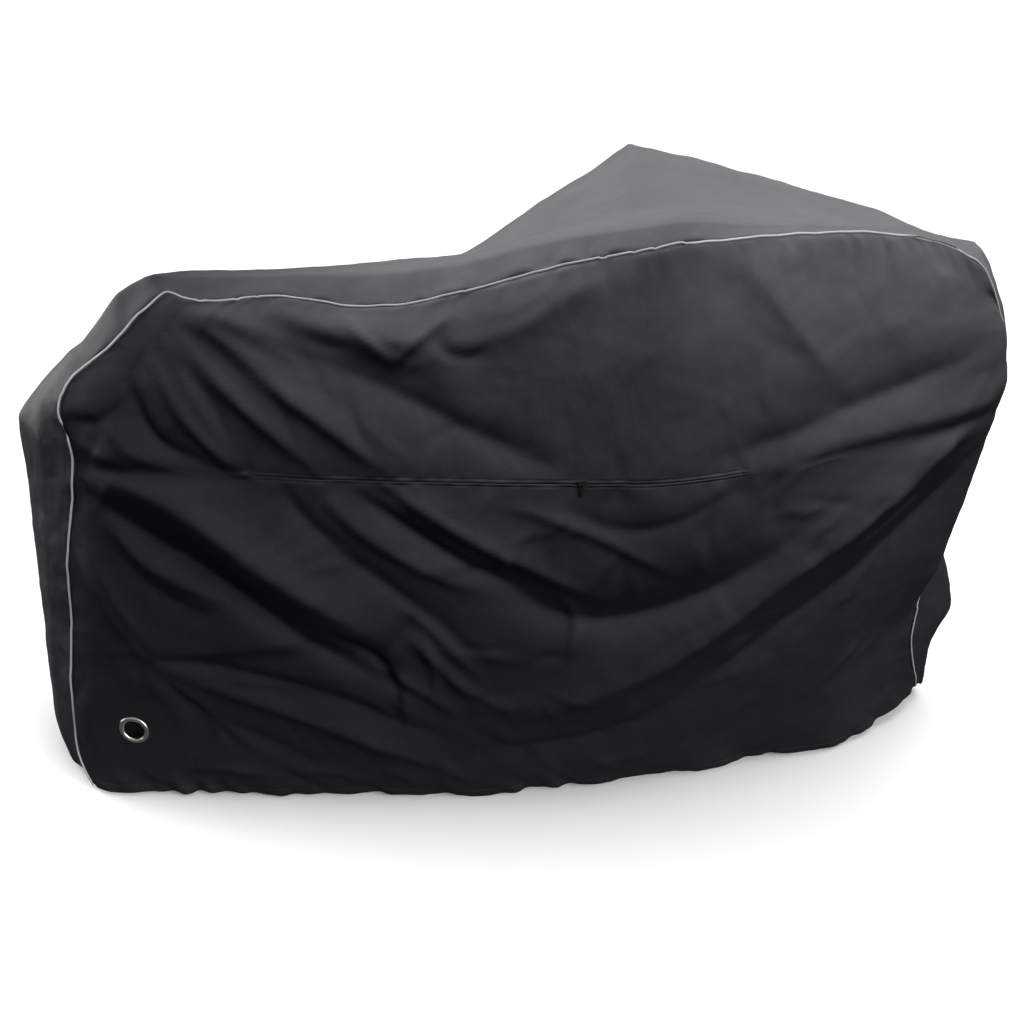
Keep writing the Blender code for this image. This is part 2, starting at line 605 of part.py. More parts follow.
def add_eyelet(place, normal, collection, cutters, cloth):
    """The lock eyelet, a turned ring that clamps the cloth, and its hole in the cloth."""
    seat = CLOTH / 2 + GAP
    back = -seat - EYELET_WASHER_THICKNESS
    outline = ((EYELET_INNER, back), (EYELET_WASHER, back), (EYELET_WASHER, -seat), (EYELET_BARREL, -seat),
               (EYELET_BARREL, seat), *((radius, seat + height) for radius, height in EYELET_RIM),
               (EYELET_INNER, seat))

    def build(shape):
        corners = [shape.verts.new((radius, 0, height)) for radius, height in reversed(outline)]
        for first, second in zip(corners, corners[1:] + corners[:1]):
            shape.edges.new((first, second))

    across = (1, 0, 0)
    eyelet = add_mesh("lock_eyelet", build, collection, BRIGHT_METAL)
    eyelet.matrix_world = turned_to(place, across, normal)
    screw = eyelet.modifiers.new("turning", "SCREW")
    screw.steps = EYELET_STEPS
    screw.render_steps = EYELET_STEPS
    screw.use_merge_vertices = True
    screw.merge_threshold = 0.00001
    screw.use_normal_calculate = True

    def build_cutter(shape):
        radius = EYELET_BARREL + 2 * GAP
        bmesh.ops.create_cone(shape, cap_ends=True, segments=EYELET_STEPS, radius1=radius, radius2=radius,
                              depth=CUTTER_LENGTH)

    cutter = add_mesh("eyelet_cutter", build_cutter, cutters, BRIGHT_METAL)
    cutter.matrix_world = turned_to(place, across, normal)
    cutter.hide_render = True
    cut = cloth.modifiers.new("eyelet_hole", "BOOLEAN")
    cut.operation = "DIFFERENCE"
    cut.object = cutter


def seam_line(back, top, front):
    """The section numbers along a whole seam, from the hem at the back to the hem at the front."""
    return np.concatenate((back, top[1:-1], front[::-1]))


def main():
    """Build the cover in a cleared scene."""
    for old in list(bpy.data.objects):
        bpy.data.objects.remove(old)
    collection = bpy.data.collections.new("bicycle_cover")
    cutters = bpy.data.collections.new("cutters")
    bpy.context.scene.collection.children.link(collection)
    bpy.context.scene.collection.children.link(cutters)

    across, levels = zip_columns(NEAR), row_levels()
    fine, back, top, front = panel(NEAR, halved(across), halved(levels))
    near_places = seam_line(back[::2], top[::2], front[::2])
    fine, place, normal = flattened(fine, NEAR)
    near, middles = panel_inset(fine[::2, ::2], NEAR.outward), fine[1::2, 1::2]
    slot = (ROWS_BELOW_ZIP + 1, COLUMNS_LEFT, COLUMNS_LEFT + COLUMNS_ZIP)
    near_panel = add_cloth("near_panel", lambda shape: loft(shape, near, middles, slot), collection,
                           BLACK_CLOTH)
    add_eyelet(place, normal, collection, cutters, near_panel)
    add_zip(near, middles, collection)

    far, *far_seams = panel(FAR, np.linspace(0, 1, len(across)), levels)
    far_places = seam_line(*far_seams)
    far = panel_inset(far, FAR.outward)
    add_cloth("far_panel", lambda shape: coarse_loft(shape, far, 2), collection, BLACK_CLOTH)

    strip = strip_points(near_places, far_places, STRIP_CELLS)
    add_piping("near_piping", strip[:, 0].copy(), collection)
    add_piping("far_piping", strip[:, -1].copy(), collection)
    strip = strip_inset(strip)
    add_cloth("centre_strip", lambda shape: coarse_loft(shape, strip, 1), collection, BLACK_CLOTH)


main()
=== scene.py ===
"""Bicycle cover in black coated cloth, dressed in fine cloth, piping, stitching, zip and lock eyelet.

Units are metres, in the model's own frame: +X runs to the front of the hidden bicycle, +Y to its far side
and +Z up from the floor. The near side, with the zip and the lock eyelet, faces -Y.
"""

import math
from collections import namedtuple
from functools import cache

import bmesh
import bpy
import numpy as np
from mathutils import Matrix, Vector


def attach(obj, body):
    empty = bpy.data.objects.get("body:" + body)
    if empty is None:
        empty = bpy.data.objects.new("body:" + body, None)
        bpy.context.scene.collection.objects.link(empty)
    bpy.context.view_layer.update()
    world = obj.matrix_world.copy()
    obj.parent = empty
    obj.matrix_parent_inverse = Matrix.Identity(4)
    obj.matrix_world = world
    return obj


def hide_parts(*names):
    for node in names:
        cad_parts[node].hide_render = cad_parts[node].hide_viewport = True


bl_info = {
    "name": "Bicycle Cover",
    "version": (1, 0, 0),
    "blender": (4, 5, 0),
    "location": "3D View > Sidebar > Cover",
    "description": "A draped bicycle cover with piping, stitching, a zip and a lock eyelet",
    "category": "Add Mesh",
}

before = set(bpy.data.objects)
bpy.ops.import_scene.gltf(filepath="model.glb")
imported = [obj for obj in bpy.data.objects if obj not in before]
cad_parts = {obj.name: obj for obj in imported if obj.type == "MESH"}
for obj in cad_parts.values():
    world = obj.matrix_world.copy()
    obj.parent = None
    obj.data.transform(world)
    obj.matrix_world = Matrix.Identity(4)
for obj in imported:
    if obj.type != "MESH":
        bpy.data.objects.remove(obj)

# The line of the zip, how the seams pull the panels and how the panels swell, as in the solids
ZIP_START = -0.444
ZIP_END = 0.355
ZIP_BACK_LEVEL = 0.667
ZIP_RISE = 0.030
END_ROUNDING = 0.012
BACK_PULL = (3, 6, 1)
FRONT_PULL = (3, 24, 1)
SWELL_UPWARD = 0.8
SWELL_ACROSS = 4
SHOULDER_HEIGHTS = (0.25, 0.37, 0.75, 0.90)
SHOULDER_POWER = 30

# The strip's cross sections, from the hem at the back over the top to the hem at the front
Section = namedtuple("Section", "near_seam crown far_seam near_ridge far_ridge", defaults=(None, None))
SECTIONS = (
    Section((-.810, -.178, .003), (-.912, .000, .003), (-.806, .180, .003)),
    Section((-.833, -.160, .058), (-.921, .000, .055), (-.830, .165, .055)),
    Section((-.832, -.150, .190), (-.912, .000, .185), (-.832, .155, .185)),
    Section((-.812, -.145, .355), (-.902, .000, .350), (-.816, .150, .350)),
    Section((-.800, -.140, .480), (-.895, .000, .475), (-.808, .145, .475)),
    Section((-.774, -.140, .602), (-.888, .000, .598), (-.795, .140, .600)),
    Section((-.762, -.140, .700), (-.884, .000, .704), (-.780, .135, .695)),
    Section((-.775, -.132, .755), (-.834, .000, .766), (-.765, .130, .742)),
    Section((-.757, -.125, .803), (-.780, .000, .819), (-.745, .125, .785)),
    Section((-.700, -.120, .846), (-.714, .005, .864), (-.695, .122, .828),
            (-.718, -.048, .876), (-.706, .062, .850)),
    Section((-.655, -.120, .885), (-.662, .005, .922), (-.648, .122, .868),
            (-.671, -.055, .934), (-.655, .066, .905)),
    Section((-.605, -.120, .934), (-.606, .005, .950), (-.594, .126, .900),
            (-.613, -.065, .966), (-.600, .074, .932)),
    Section((-.576, -.118, .953), (-.572, .005, .954), (-.565, .130, .902),
            (-.575, -.070, .965), (-.568, .078, .934)),
    Section((-.530, -.138, .944), (-.530, .005, .954), (-.530, .136, .900),
            (-.530, -.084, .968), (-.530, .084, .932)),
    Section((-.405, -.162, .953), (-.400, .000, .953), (-.400, .160, .892),
            (-.400, -.120, .977), (-.400, .098, .930)),
    Section((-.235, -.220, .950), (-.225, .000, .965), (-.225, .195, .885),
            (-.230, -.170, .989), (-.225, .112, .934)),
    Section((-.100, -.252, .979), (-.090, .000, .975), (-.085, .235, .890),
            (-.098, -.212, 1.014), (-.080, .150, .936)),
    Section((.050, -.292, 1.028), (.070, .000, 1.012), (.075, .300, .955),
            (.055, -.262, 1.062), (.074, .240, 1.010)),
    Section((.138, -.315, 1.051), (.165, .000, 1.040), (.172, .334, 1.010),
            (.145, -.292, 1.081), (.179, .290, 1.059)),
    Section((.225, -.335, 1.069), (.258, .000, 1.054), (.255, .350, 1.052),
            (.238, -.316, 1.097), (.261, .322, 1.104)),
    Section((.320, -.320, 1.071), (.360, .000, 1.052), (.353, .347, 1.030),
            (.345, -.292, 1.085), (.363, .315, 1.083)),
    Section((.515, -.250, 1.060), (.550, .000, 1.032), (.560, .298, .975),
            (.540, -.212, 1.059), (.559, .262, 1.036)),
    Section((.674, -.190, 1.028), (.715, .000, 1.002), (.722, .218, .938),
            (.700, -.120, 1.026), (.726, .180, .994)),
    Section((.735, -.162, 1.006), (.785, .000, .988), (.780, .182, .928),
            (.765, -.090, 1.004), (.787, .135, .963)),
    Section((.790, -.140, .974), (.846, .010, .974), (.812, .155, .912),
            (.825, -.070, .982), (.836, .095, .958)),
    Section((.850, -.115, .886), (.887, .000, .876), (.845, .132, .846)),
    Section((.877, -.095, .838), (.899, .005, .825), (.857, .130, .806)),
    Section((.885, -.072, .770), (.902, .020, .760), (.862, .130, .748)),
    Section((.880, -.062, .690), (.895, .028, .688), (.856, .132, .688)),
    Section((.862, -.058, .570), (.880, .032, .568), (.842, .132, .570)),
    Section((.842, -.060, .460), (.866, .032, .458), (.826, .130, .460)),
    Section((.818, -.070, .360), (.884, .025, .352), (.815, .124, .360)),
    Section((.800, -.090, .270), (.912, .012, .260), (.812, .118, .270)),
    Section((.794, -.100, .210), (.920, .008, .208), (.810, .118, .205)),
    Section((.806, -.096, .155), (.892, .008, .148), (.806, .115, .150)),
    Section((.830, -.072, .098), (.882, .010, .086), (.808, .110, .090)),
    Section((.853, -.038, .041), (.886, .022, .014), (.806, .112, .003)),
)
BACK_CORNER = 12
FRONT_CORNER = 24
LAST_SECTION = len(SECTIONS) - 1
GUIDES = ("near_seam", "near_ridge", "crown", "far_ridge", "far_seam")

# The hems of the side panels, from back to front
NEAR_HEM = (
    (-.810, -.178, .003),
    (-.770, -.200, .003),
    (-.704, -.208, .003),
    (-.420, -.227, .003),
    (-.138, -.250, .003),
    (.151, -.248, .003),
    (.480, -.198, .003),
    (.660, -.161, .005),
    (.737, -.117, .017),
    (.800, -.080, .033),
    (.853, -.038, .041),
)
FAR_HEM = (
    (-.806, .180, .003),
    (-.770, .200, .003),
    (-.400, .236, .003),
    (-.100, .252, .003),
    (.150, .246, .003),
    (.400, .220, .003),
    (.600, .186, .003),
    (.730, .148, .003),
    (.806, .112, .003),
)

# A fold runs along a bent line on a panel, given by x and z at its start, middle and end. It stands out by
# its height, or sinks in if that is negative, and fades out over its reach above and below the line.
Fold = namedtuple("Fold", "start middle end height above below")
NEAR_FOLDS = (
    # slung between the saddle and the grip
    Fold((-.420, .945), (-.270, .885), (-.090, .870), .016, .070, .060),
    Fold((-.125, .880), (-.050, .910), (.125, 1.020), .010, .060, .055),
    Fold((-.360, .880), (-.160, .805), (.060, .690), -.011, .055, .035),
    # fanned out from the saddle corner
    Fold((-.555, .945), (-.395, .805), (-.215, .685), .014, .040, .025),
    Fold((-.530, .935), (-.435, .895), (-.360, .855), .007, .025, .025),
    Fold((-.590, .890), (-.460, .795), (-.335, .680), .011, .030, .025),
    Fold((-.610, .865), (-.565, .740), (-.450, .665), .012, .030, .025),
    Fold((-.645, .830), (-.645, .715), (-.530, .690), -.014, .030, .025),
    Fold((-.735, .795), (-.660, .675), (-.530, .665), .008, .025, .025),
    # down from the back seam
    Fold((-.725, .700), (-.555, .610), (-.225, .355), .046, .050, .130),
    Fold((-.725, .610), (-.575, .490), (-.250, .285), -.034, .130, .016),
    Fold((-.330, .385), (-.225, .330), (-.225, .255), -.016, .024, .014),
    Fold((-.710, .560), (-.645, .425), (-.530, .410), -.007, .025, .025),
    Fold((-.715, .595), (-.660, .480), (-.500, .435), .012, .030, .025),
    Fold((-.780, .520), (-.745, .400), (-.675, .320), .010, .035, .025),
    # spread from the point over the eyelet
    Fold((-.675, .320), (-.505, .350), (-.315, .385), .012, .075, .025),
    Fold((-.665, .315), (-.495, .330), (-.155, .160), -.014, .030, .025),
    Fold((-.665, .305), (-.450, .235), (-.120, .065), .014, .030, .030),
    Fold((-.670, .285), (-.530, .165), (-.340, .065), -.008, .030, .030),
    Fold((-.670, .305), (-.660, .205), (-.620, .065), .007, .030, .030),
    # hanging from the zip
    Fold((-.330, .655), (-.270, .545), (-.080, .475), .010, .030, .025),
    Fold((-.405, .665), (-.370, .595), (-.295, .550), -.008, .025, .025),
    Fold((-.290, .665), (-.170, .560), (-.015, .485), -.012, .025, .025),
    Fold((-.230, .665), (-.105, .575), (.125, .460), .014, .030, .025),
    Fold((-.330, .560), (-.250, .500), (-.100, .360), -.010, .035, .025),
    Fold((-.065, .520), (.120, .295), (.460, .535), -.022, .110, .035),
    Fold((.050, .655), (.175, .540), (.335, .655), -.004, .030, .025),
    # drawn in from the front corner
    Fold((.880, .735), (.595, .560), (.310, .350), .020, .070, .065),
    Fold((.380, .400), (.275, .310), (-.045, .190), .014, .055, .060),
    Fold((.880, .640), (.550, .390), (.250, .195), -.014, .075, .050),
    Fold((.285, .220), (.150, .120), (-.100, .125), -.010, .030, .035),
    Fold((.820, .830), (.560, .775), (.300, .715), -.008, .070, .035),
    Fold((.890, .730), (.610, .725), (.405, .685), .006, .045, .045),
    # finer folds, which the solids leave out
    Fold((-.585, .935), (-.480, .880), (-.385, .835), .004, .020, .016),
    Fold((-.590, .925), (-.520, .845), (-.425, .760), .005, .020, .016),
    Fold((-.600, .915), (-.560, .820), (-.500, .735), .005, .020, .016),
    Fold((-.575, .945), (-.440, .905), (-.250, .845), .004, .020, .016),
    Fold((-.250, .915), (-.205, .870), (-.150, .880), -.005, .020, .018),
    Fold((-.360, .905), (-.320, .875), (-.265, .890), -.004, .018, .018),
    Fold((-.655, .300), (-.480, .290), (-.300, .230), .006, .020, .016),
    Fold((-.640, .280), (-.560, .200), (-.480, .105), .007, .020, .016),
    Fold((-.655, .330), (-.720, .420), (-.765, .540), .006, .020, .016),
    Fold((-.150, .310), (-.090, .260), (-.020, .215), .007, .020, .016),
    Fold((-.230, .330), (-.200, .250), (-.215, .180), .006, .020, .016),
    Fold((-.220, .445), (-.150, .395), (-.080, .290), .008, .015, .015),
    Fold((-.210, .385), (-.170, .365), (-.090, .235), .008, .015, .015),
    Fold((-.040, .635), (.095, .615), (.250, .495), .005, .015, .015),
    Fold((.310, 1.050), (.410, .930), (.500, .830), .004, .035, .035),
    Fold((-.800, .150), (-.745, .085), (-.680, .040), .009, .016, .014),
    Fold((-.630, .065), (-.565, .088), (-.480, .058), .008, .014, .012),
    Fold((-.440, .050), (-.380, .090), (-.300, .045), .006, .014, .012),
    Fold((-.270, .320), (-.190, .290), (-.130, .215), .009, .014, .014),
    Fold((-.300, .935), (-.245, .900), (-.215, .860), .007, .014, .018),
    Fold((-.215, .860), (-.170, .905), (-.110, .945), .007, .018, .014),
    Fold((-.140, .900), (-.100, .860), (-.060, .905), -.007, .018, .016),
    Fold((-.760, .760), (-.700, .730), (-.655, .790), -.008, .014, .018),
    Fold((.055, .470), (.110, .395), (.060, .330), .007, .016, .016),
    Fold((-.190, .395), (-.150, .330), (-.165, .260), .007, .012, .014),
)
FAR_FOLDS = (
    Fold((-.480, .860), (-.260, .820), (-.020, .840), .014, .070, .060),
    Fold((-.540, .860), (-.400, .720), (-.180, .600), .012, .040, .030),
    Fold((-.600, .800), (-.560, .660), (-.420, .560), -.012, .040, .040),
    Fold((-.740, .700), (-.540, .520), (-.220, .360), .020, .055, .035),
    Fold((-.760, .560), (-.620, .420), (-.380, .250), -.012, .040, .040),
    Fold((-.700, .300), (-.460, .200), (-.160, .120), .010, .045, .040),
    Fold((.250, 1.010), (.100, .800), (-.120, .640), .010, .050, .045),
    Fold((.300, 1.000), (.360, .800), (.520, .640), -.012, .045, .045),
    Fold((.820, .740), (.560, .560), (.240, .420), .018, .060, .045),
    Fold((.820, .600), (.540, .380), (.160, .260), -.012, .045, .055),
    Fold((-.180, .520), (.080, .380), (.420, .460), -.012, .050, .050),
    Fold((.760, .260), (.520, .160), (.220, .110), .008, .040, .040),
)

# A crease runs along a bent line on the strip, given by section number and share of the way across from
# the near seam, at its start, middle and end.
Crease = namedtuple("Crease", "start middle end height reach")
STRIP_CREASES = (
    Crease((16.2, 0.14), (18.0, 0.10), (19.3, 0.13), 0.003, 0.020),
    Crease((19.2, 0.12), (19.6, 0.10), (20.6, 0.16), 0.003, 0.018),
    Crease((19.0, 0.74), (18.7, 0.60), (17.9, 0.36), 0.007, 0.022),
    Crease((16.4, 0.02), (16.2, 0.10), (16.0, 0.22), 0.004, 0.012),
)

Side = namedtuple("Side", "seam hem outward bulge shoulder folds seed")
NEAR = Side("near_seam", NEAR_HEM, -1, 0.055, 0.038, NEAR_FOLDS, 51)
FAR = Side("far_seam", FAR_HEM, 1, 0.050, 0.012, FAR_FOLDS, 71)

# The seeds of the random numbers: what each kind of unevenness adds to a panel's seed, and the others'
UNEVEN_SEED = 2
HEM_SEED = 8
RIPPLE_SEED = 12
SMALL_FOLD_SEED = 20
SEAM_SEEDS = (21, 31, 41)
PIPING_SEED = 27
ZIP_SEED = 61
STRIP_SEED = 91
STRIP_SEAM_SEEDS = (121, 131)
STRIP_HEM_SEEDS = (141, 151)
STRIP_RIPPLE_SEEDS = (161, 171)
# The random numbers form a square, which repeats after this many of them
LATTICE = 64

# How finely seams, hems and the zip's columns are looked up, and the shortest lengths worked with
LOOKUP_STEPS = 600
RUN_STEPS = 1500
ZIP_STEPS = 400
SHORTEST_CHORD = 1e-9
SHORTEST_VECTOR = 1e-12

# Rows and columns of the fine cloth, as distances from a hem, from the slit of the zip and from a seam,
# and as numbers of cells between those
HEM_STEPS = (0, 0.003, 0.006, 0.010, 0.015, 0.019, 0.0215, 0.0235, 0.0255, 0.029)
SLIT_STEPS = (0, 0.0010, 0.0020, 0.0032, 0.0042, 0.0050, 0.0058, 0.0070, 0.0090, 0.0125)
SEAM_STEPS = (0, 0.0015, 0.0030, 0.0045, 0.0065, 0.0100, 0.0140)
PANEL_LENGTH = 1.66
LOW_HEIGHT = 0.667
HIGH_HEIGHT = 0.300
STRIP_WIDTH = 0.45
# The near panel's columns before, along and after the zip
NEAR_COLUMNS = (60, 132, 86)
LOW_ROWS = 86
HIGH_ROWS = 38
FAR_COLUMNS = 220
FAR_ROWS = 100
STRIP_COLUMNS = 40

# Parts of a cloth, and its edges that lie in the seams, each with the row or column inside it
EVERY = slice(None)
BACKWARD = slice(None, None, -1)
BELOW_TOP = slice(0, -1)
PANEL_EDGES = (
    ((-1, EVERY), (-2, EVERY)),
    ((BELOW_TOP, 0), (BELOW_TOP, 1)),
    ((BELOW_TOP, -1), (BELOW_TOP, -2)),
)
STRIP_EDGES = (((EVERY, 0), (EVERY, 1)), ((EVERY, -1), (EVERY, -2)))

# How straight the strip is stretched between its guide points, along and across, from 0 to 1
TAUT_ALONG = 0.6
TAUT_ACROSS = 0.75

# Folds: they fade toward their ends and fall off sideways, sharper at the crest with a lower power. The line
# strays by MEANDER over MEANDER_LENGTH. One side of a fold is steep and the other slack.
FOLD_STEPS = 24
FOLD_ENDS = (0.02, 0.98)
FOLD_FADE = 0.6
FOLD_FALL = 2
FOLD_SPAN = 3
CREASE_STEPS = 3
FOLD_POWER = 1.15
FOLD_GAIN = 1.1
FOLD_STEEPNESS = 0.80
FOLD_SLACK = 1.7
FOLD_CREST = 0.07
MEANDER = 0.005
MEANDER_LENGTH = 0.11
SIDE_FADE = 0.022
TOP_FADE = 0.030
# Small creases: how many, where they may lie in x and z, the places that hold the cloth, how far their
# direction strays, half their length, their reach and their height as a share of it
SMALL_FOLDS = 210
SMALL_FOLD_AREA = ((-0.80, 0.04), (0.86, 1.00))
HELD_PLACES = ((-0.57, 0.95), (0.25, 1.07), (0.88, 0.76), (-0.69, 0.30), (-0.78, 0.70))
SMALL_FOLD_SPREAD = 0.45
SMALL_FOLD_BEND = 0.3
SMALL_FOLD_HALF = (0.025, 0.090)
SMALL_FOLD_REACH = (0.010, 0.020)
SMALL_FOLD_HEIGHT = (0.10, 0.20)
# Beyond this x and z the cloth is stretched smoother, and small creases have this share of their height
SMOOTH_BEYOND = (0.00, 0.70)
SMOOTH_SHARE = 0.35
ZIP_HOLD = 0.6
ZIP_HOLD_REACH = 0.020

# Zip: half the slit, its spread round the slider, the rolled lips and the stitched grooves beside them
SLIT = 0.0009
SLIDER_X = 0.086
SLIDER_SPREAD = 0.0034
SLIDER_REACH = 0.011
LIP = (0.0002, 0.0026, 0.0014)
ZIP_GROOVE = (-0.0004, 0.0062, 0.0010)
ZIP_END_REACH = 0.010
# Along the zip, by x: how high the puckers beside it are. They slant over it.
ZIP_PUCKERS = (
    (-0.50, 0.0), (-0.46, 0.0030), (-0.38, 0.0034), (-0.20, 0.0026), (0.00, 0.0014), (0.086, 0.0024),
    (0.20, 0.0012), (0.34, 0.0022), (0.40, 0.0),
)
ZIP_SLANT = 0.4
ZIP_STITCH_ROWS = 9
# Lines of the tape on each side, at distances from the slit and at a depth under the cloth
TAPE_SPAN = (0.014, 0.001)
TAPE_LINES = 5
TAPE_DEPTH = 0.0019
TOOTH = (0.0012, 0.0036, 0.0011)
TOOTH_PITCH = 0.0021
TOOTH_RISE = 0.00088
TOOTH_TURN = 0.12

# The slider and its pull, as blocks with their size, middle and rounding: two plates, the neck between them
# and the bridge on its two feet, then the pull's loop, its bar, its tab and the raised middle of the tab
SLIDER_BLOCKS = (
    ((0.0120, 0.0085, 0.0011), (0, 0, 0.0004), 0.0005),
    ((0.0120, 0.0092, 0.0013), (0, 0, 0.0034), 0.0006),
    ((0.0040, 0.0030, 0.0028), (0.0034, 0, 0.0019), 0.0004),
    ((0.0095, 0.0022, 0.0012), (0, 0, 0.0057), 0.0005),
    ((0.0014, 0.0022, 0.0022), (-0.0040, 0, 0.0046), 0.0004),
    ((0.0014, 0.0022, 0.0022), (0.0040, 0, 0.0046), 0.0004),
)
PULL_BLOCKS = (
    ((0.0014, 0.0070, 0.0013), (-0.0022, -0.0018, 0), 0.0005),
    ((0.0014, 0.0070, 0.0013), (0.0022, -0.0018, 0), 0.0005),
    ((0.0058, 0.0014, 0.0013), (0, 0.0014, 0), 0.0005),
    ((0.0068, 0.0170, 0.0016), (0, -0.0130, -0.0002), 0.0006),
    ((0.0040, 0.0120, 0.0006), (0, -0.0135, 0.0008), 0.0002),
)
# Where the pull hangs on the slider, and how far it is turned, in degrees
PULL_PLACE = (0, -0.001, 0.0050)
PULL_TURN = 4
BLOCK_SEGMENTS = 3

# Lock eyelet: its place, the flat cloth round it, and its ring as radius and height from the cloth
EYELET_X = -0.716
EYELET_Z = 0.152
EYELET_FLAT = 0.075
EYELET_BLEND = 0.125
EYELET_HOLE = 0.0215
EYELET_RING = (
    (0.0200, -0.0016), (0.0262, -0.0017), (0.0266, -0.0012), (0.0262, -0.0008), (0.0212, -0.0007),
    (0.0212, 0.0007), (0.0286, 0.0007), (0.0291, 0.0010), (0.0288, 0.0017), (0.0276, 0.0025),
    (0.0258, 0.0031), (0.0240, 0.0032), (0.0222, 0.0028), (0.0208, 0.0018), (0.0201, 0.0004),
)
EYELET_SEGMENTS = 96
# Corners of the ring that are closer than this are joined
WELD = 0.000001

# Seams: the dip of the cloth beside the piping, how the seam strays, and the puckers that run out from it
SEAM_DIP = 0.0022
SEAM_DIP_REACH = 0.0045
SEAM_INSET = 0.0009
WOBBLES = ((0.0016, 0.034, 11), (0.0022, 0.120, 14))
WOBBLE_REACH = 0.030
PUCKER_LENGTHS = ((1.0, 0.016), (0.7, 0.034))
PUCKER_START = 0.006
PUCKER_REACH = 0.035
PUCKER_WIDTH = 0.09
PUCKER_ROW = 7
# Where the cloth closes over the piping, the strip and the panel rise, and the strip's outermost columns are
# lapped over, away from one further in
STRIP_COVERING = 0.0040
PANEL_COVERING = 0.0020
COVERING_LAP = 0.0026
LAP_COLUMNS = 2
LAP_FROM = 3
PIPING_SEGMENTS = 12
PIPING_TRIM = slice(3, -3)
PIPING_RIPPLE = (0.0006, 0.021)
# Along a seam, by section number: how high the puckers are, how far the piping stands out, and how far the
# cloth closes over it, from 0 to 1
SeamTables = namedtuple("SeamTables", "puckers piping covering")
SEAM_TABLES = {
    "near_seam": SeamTables(
        puckers=((0, 0.0018), (6, 0.0014), (9, 0.0030), (12, 0.0024), (15, 0.0026), (16, 0.0042),
                 (17.6, 0.0042), (18.5, 0.0022), (23, 0.0022), (26, 0.0034), (30, 0.0018), (36, 0.0022)),
        piping=((0, 0.0010), (6.1, 0.0010), (6.3, -0.0015), (6.6, -0.0015), (6.8, 0.0010), (19.8, 0.0010),
                (20.2, 0.0004), (21.5, 0.0003), (21.8, -0.0012), (22.9, -0.0012), (23.2, 0.0006),
                (24.0, 0.0006), (24.4, 0.0002), (25.8, 0.0002), (26.5, 0.0010), (34.5, 0.0010),
                (36, -0.0008)),
        covering=((0, 0), (6.1, 0), (6.3, 1), (6.6, 1), (6.8, 0), (20, 0), (20.4, 0.2), (21.5, 0.3),
                  (21.8, 0.9), (22.9, 0.9), (23.2, 0.1), (24.0, 0.1), (24.4, 0.3), (25.8, 0.3), (26.5, 0),
                  (34.5, 0), (36, 0.8))),
    "far_seam": SeamTables(puckers=((0, 0.0015),), piping=((0, 0.0010),), covering=((0, 0),)),
}

# Hem: the stitched groove, the edge turned in, and the gathers as height, length and reach upward
HEM_GROOVE = (-0.0012, 0.0235, 0.0014)
HEM_TURN = 0.006
HEM_TURN_DEPTH = 0.004
GATHERS = ((0.0048, 0.026, 0.040), (0.0060, 0.115, 0.120))
GATHER_STRETCH = 4
HEM_RIPPLE = (0.005, 0.026, 0.030)

# Unevenness of the cloth itself, as height and length
PANEL_UNEVENNESS = ((0.0026, 0.130), (0.0011, 0.050), (0.00035, 0.018))
STRIP_UNEVENNESS = ((0.0016, 0.120), (0.0013, 0.045), (0.00060, 0.018))

# Painted light on the cloth, standing in for the light from above: lighter where its normal faces up and
# higher up, by the height of its normal and by its own height in metres, as where each range begins and ends
# and the share of painted light at either end
PAINTED_LIGHT_FACING = (-0.28, 1.00, 0.0, 1.0)
PAINTED_LIGHT_HEIGHT = (0.10, 1.00, 0.36, 1.0)
# Painted bounce light from the floor, lighter toward the hem, by height as above
PAINTED_BOUNCE_HEIGHT = (0.02, 0.60, 0.11, 0.0)
# The painted light is brightest round this place, a painted pool of light, by distance as above
PAINTED_LIGHT_PLACE = (0.45, -0.35, 0.85)
PAINTED_LIGHT_DISTANCE = (0.15, 1.10, 2.05, 0.30)

# The coated cloth: grains a metre and the tone of the cloth and of its painted light between them, grains and
# range of the roughness, the ridged crumples and fine creases with their grains, detail and depth, and the
# weave's pitch and depth
CLOTH_GRAIN = 7.0
CLOTH_TONE = (0.8, 1.2)
PAINTED_LIGHT_TONE = (0.85, 1.15)
CLOTH_ROUGHNESS = (30.0, 0.44, 0.52)
CLOTH_IOR = 1.10
CRUMPLES = {"Scale": 11.0, "Detail": 2.0, "Distortion": 0.6}
CRUMPLE_DEPTH = 0.0030
FINE_CREASES = (42.0, 4.0)
FINE_CREASE_DEPTH = 0.0016
WEAVE = (0.0007, 0.00012)

# The zip's tape: how rough it is, its tone between ribs, and the ribs' pitch and depth
TAPE_ROUGHNESS = 0.7
TAPE_TONE = (0.6, 1.3)
TAPE_RIBS = (0.0009, 0.0002)

# The other materials: a colour or the setting that holds it, its tone as grains a metre, darkest and
# brightest share, its roughness as one number or as grains, lowest and highest, its bump as grains and depth
Finish = namedtuple("Finish", "colour tone rough bump metallic shine", defaults=(None, 0.0, 0.5))
FINISHES = {
    "piping_cloth": Finish("piping_colour", (55.0, 0.72, 1.2), 0.45, (900.0, 0.0003)),
    "thread": Finish("thread_colour", (300.0, 0.6, 1.5), 0.6, (1500.0, 0.0002)),
    "coil_plastic": Finish((0.004, 0.004, 0.0045), (500.0, 0.7, 1.4), (800.0, 0.28, 0.45)),
    "slider_metal": Finish((0.007, 0.007, 0.0075), (420.0, 0.5, 2.2), (420.0, 0.24, 0.42), metallic=0.3),
    "eyelet_metal": Finish("eyelet_colour", (160.0, 0.86, 1.06), (700.0, 0.20, 0.34), (120.0, 0.0002), 1.0),
    "floor_paint": Finish((0.92, 0.92, 0.92), (3.0, 0.99, 1.01), 0.9, shine=0.0),
}

STITCH = (0.0027, 0.0007, 0.0006)
STITCH_PITCH = 0.0036
TOPSTITCH = 0.0048
BEAD_SEGMENTS = {"u_segments": 6, "v_segments": 4}

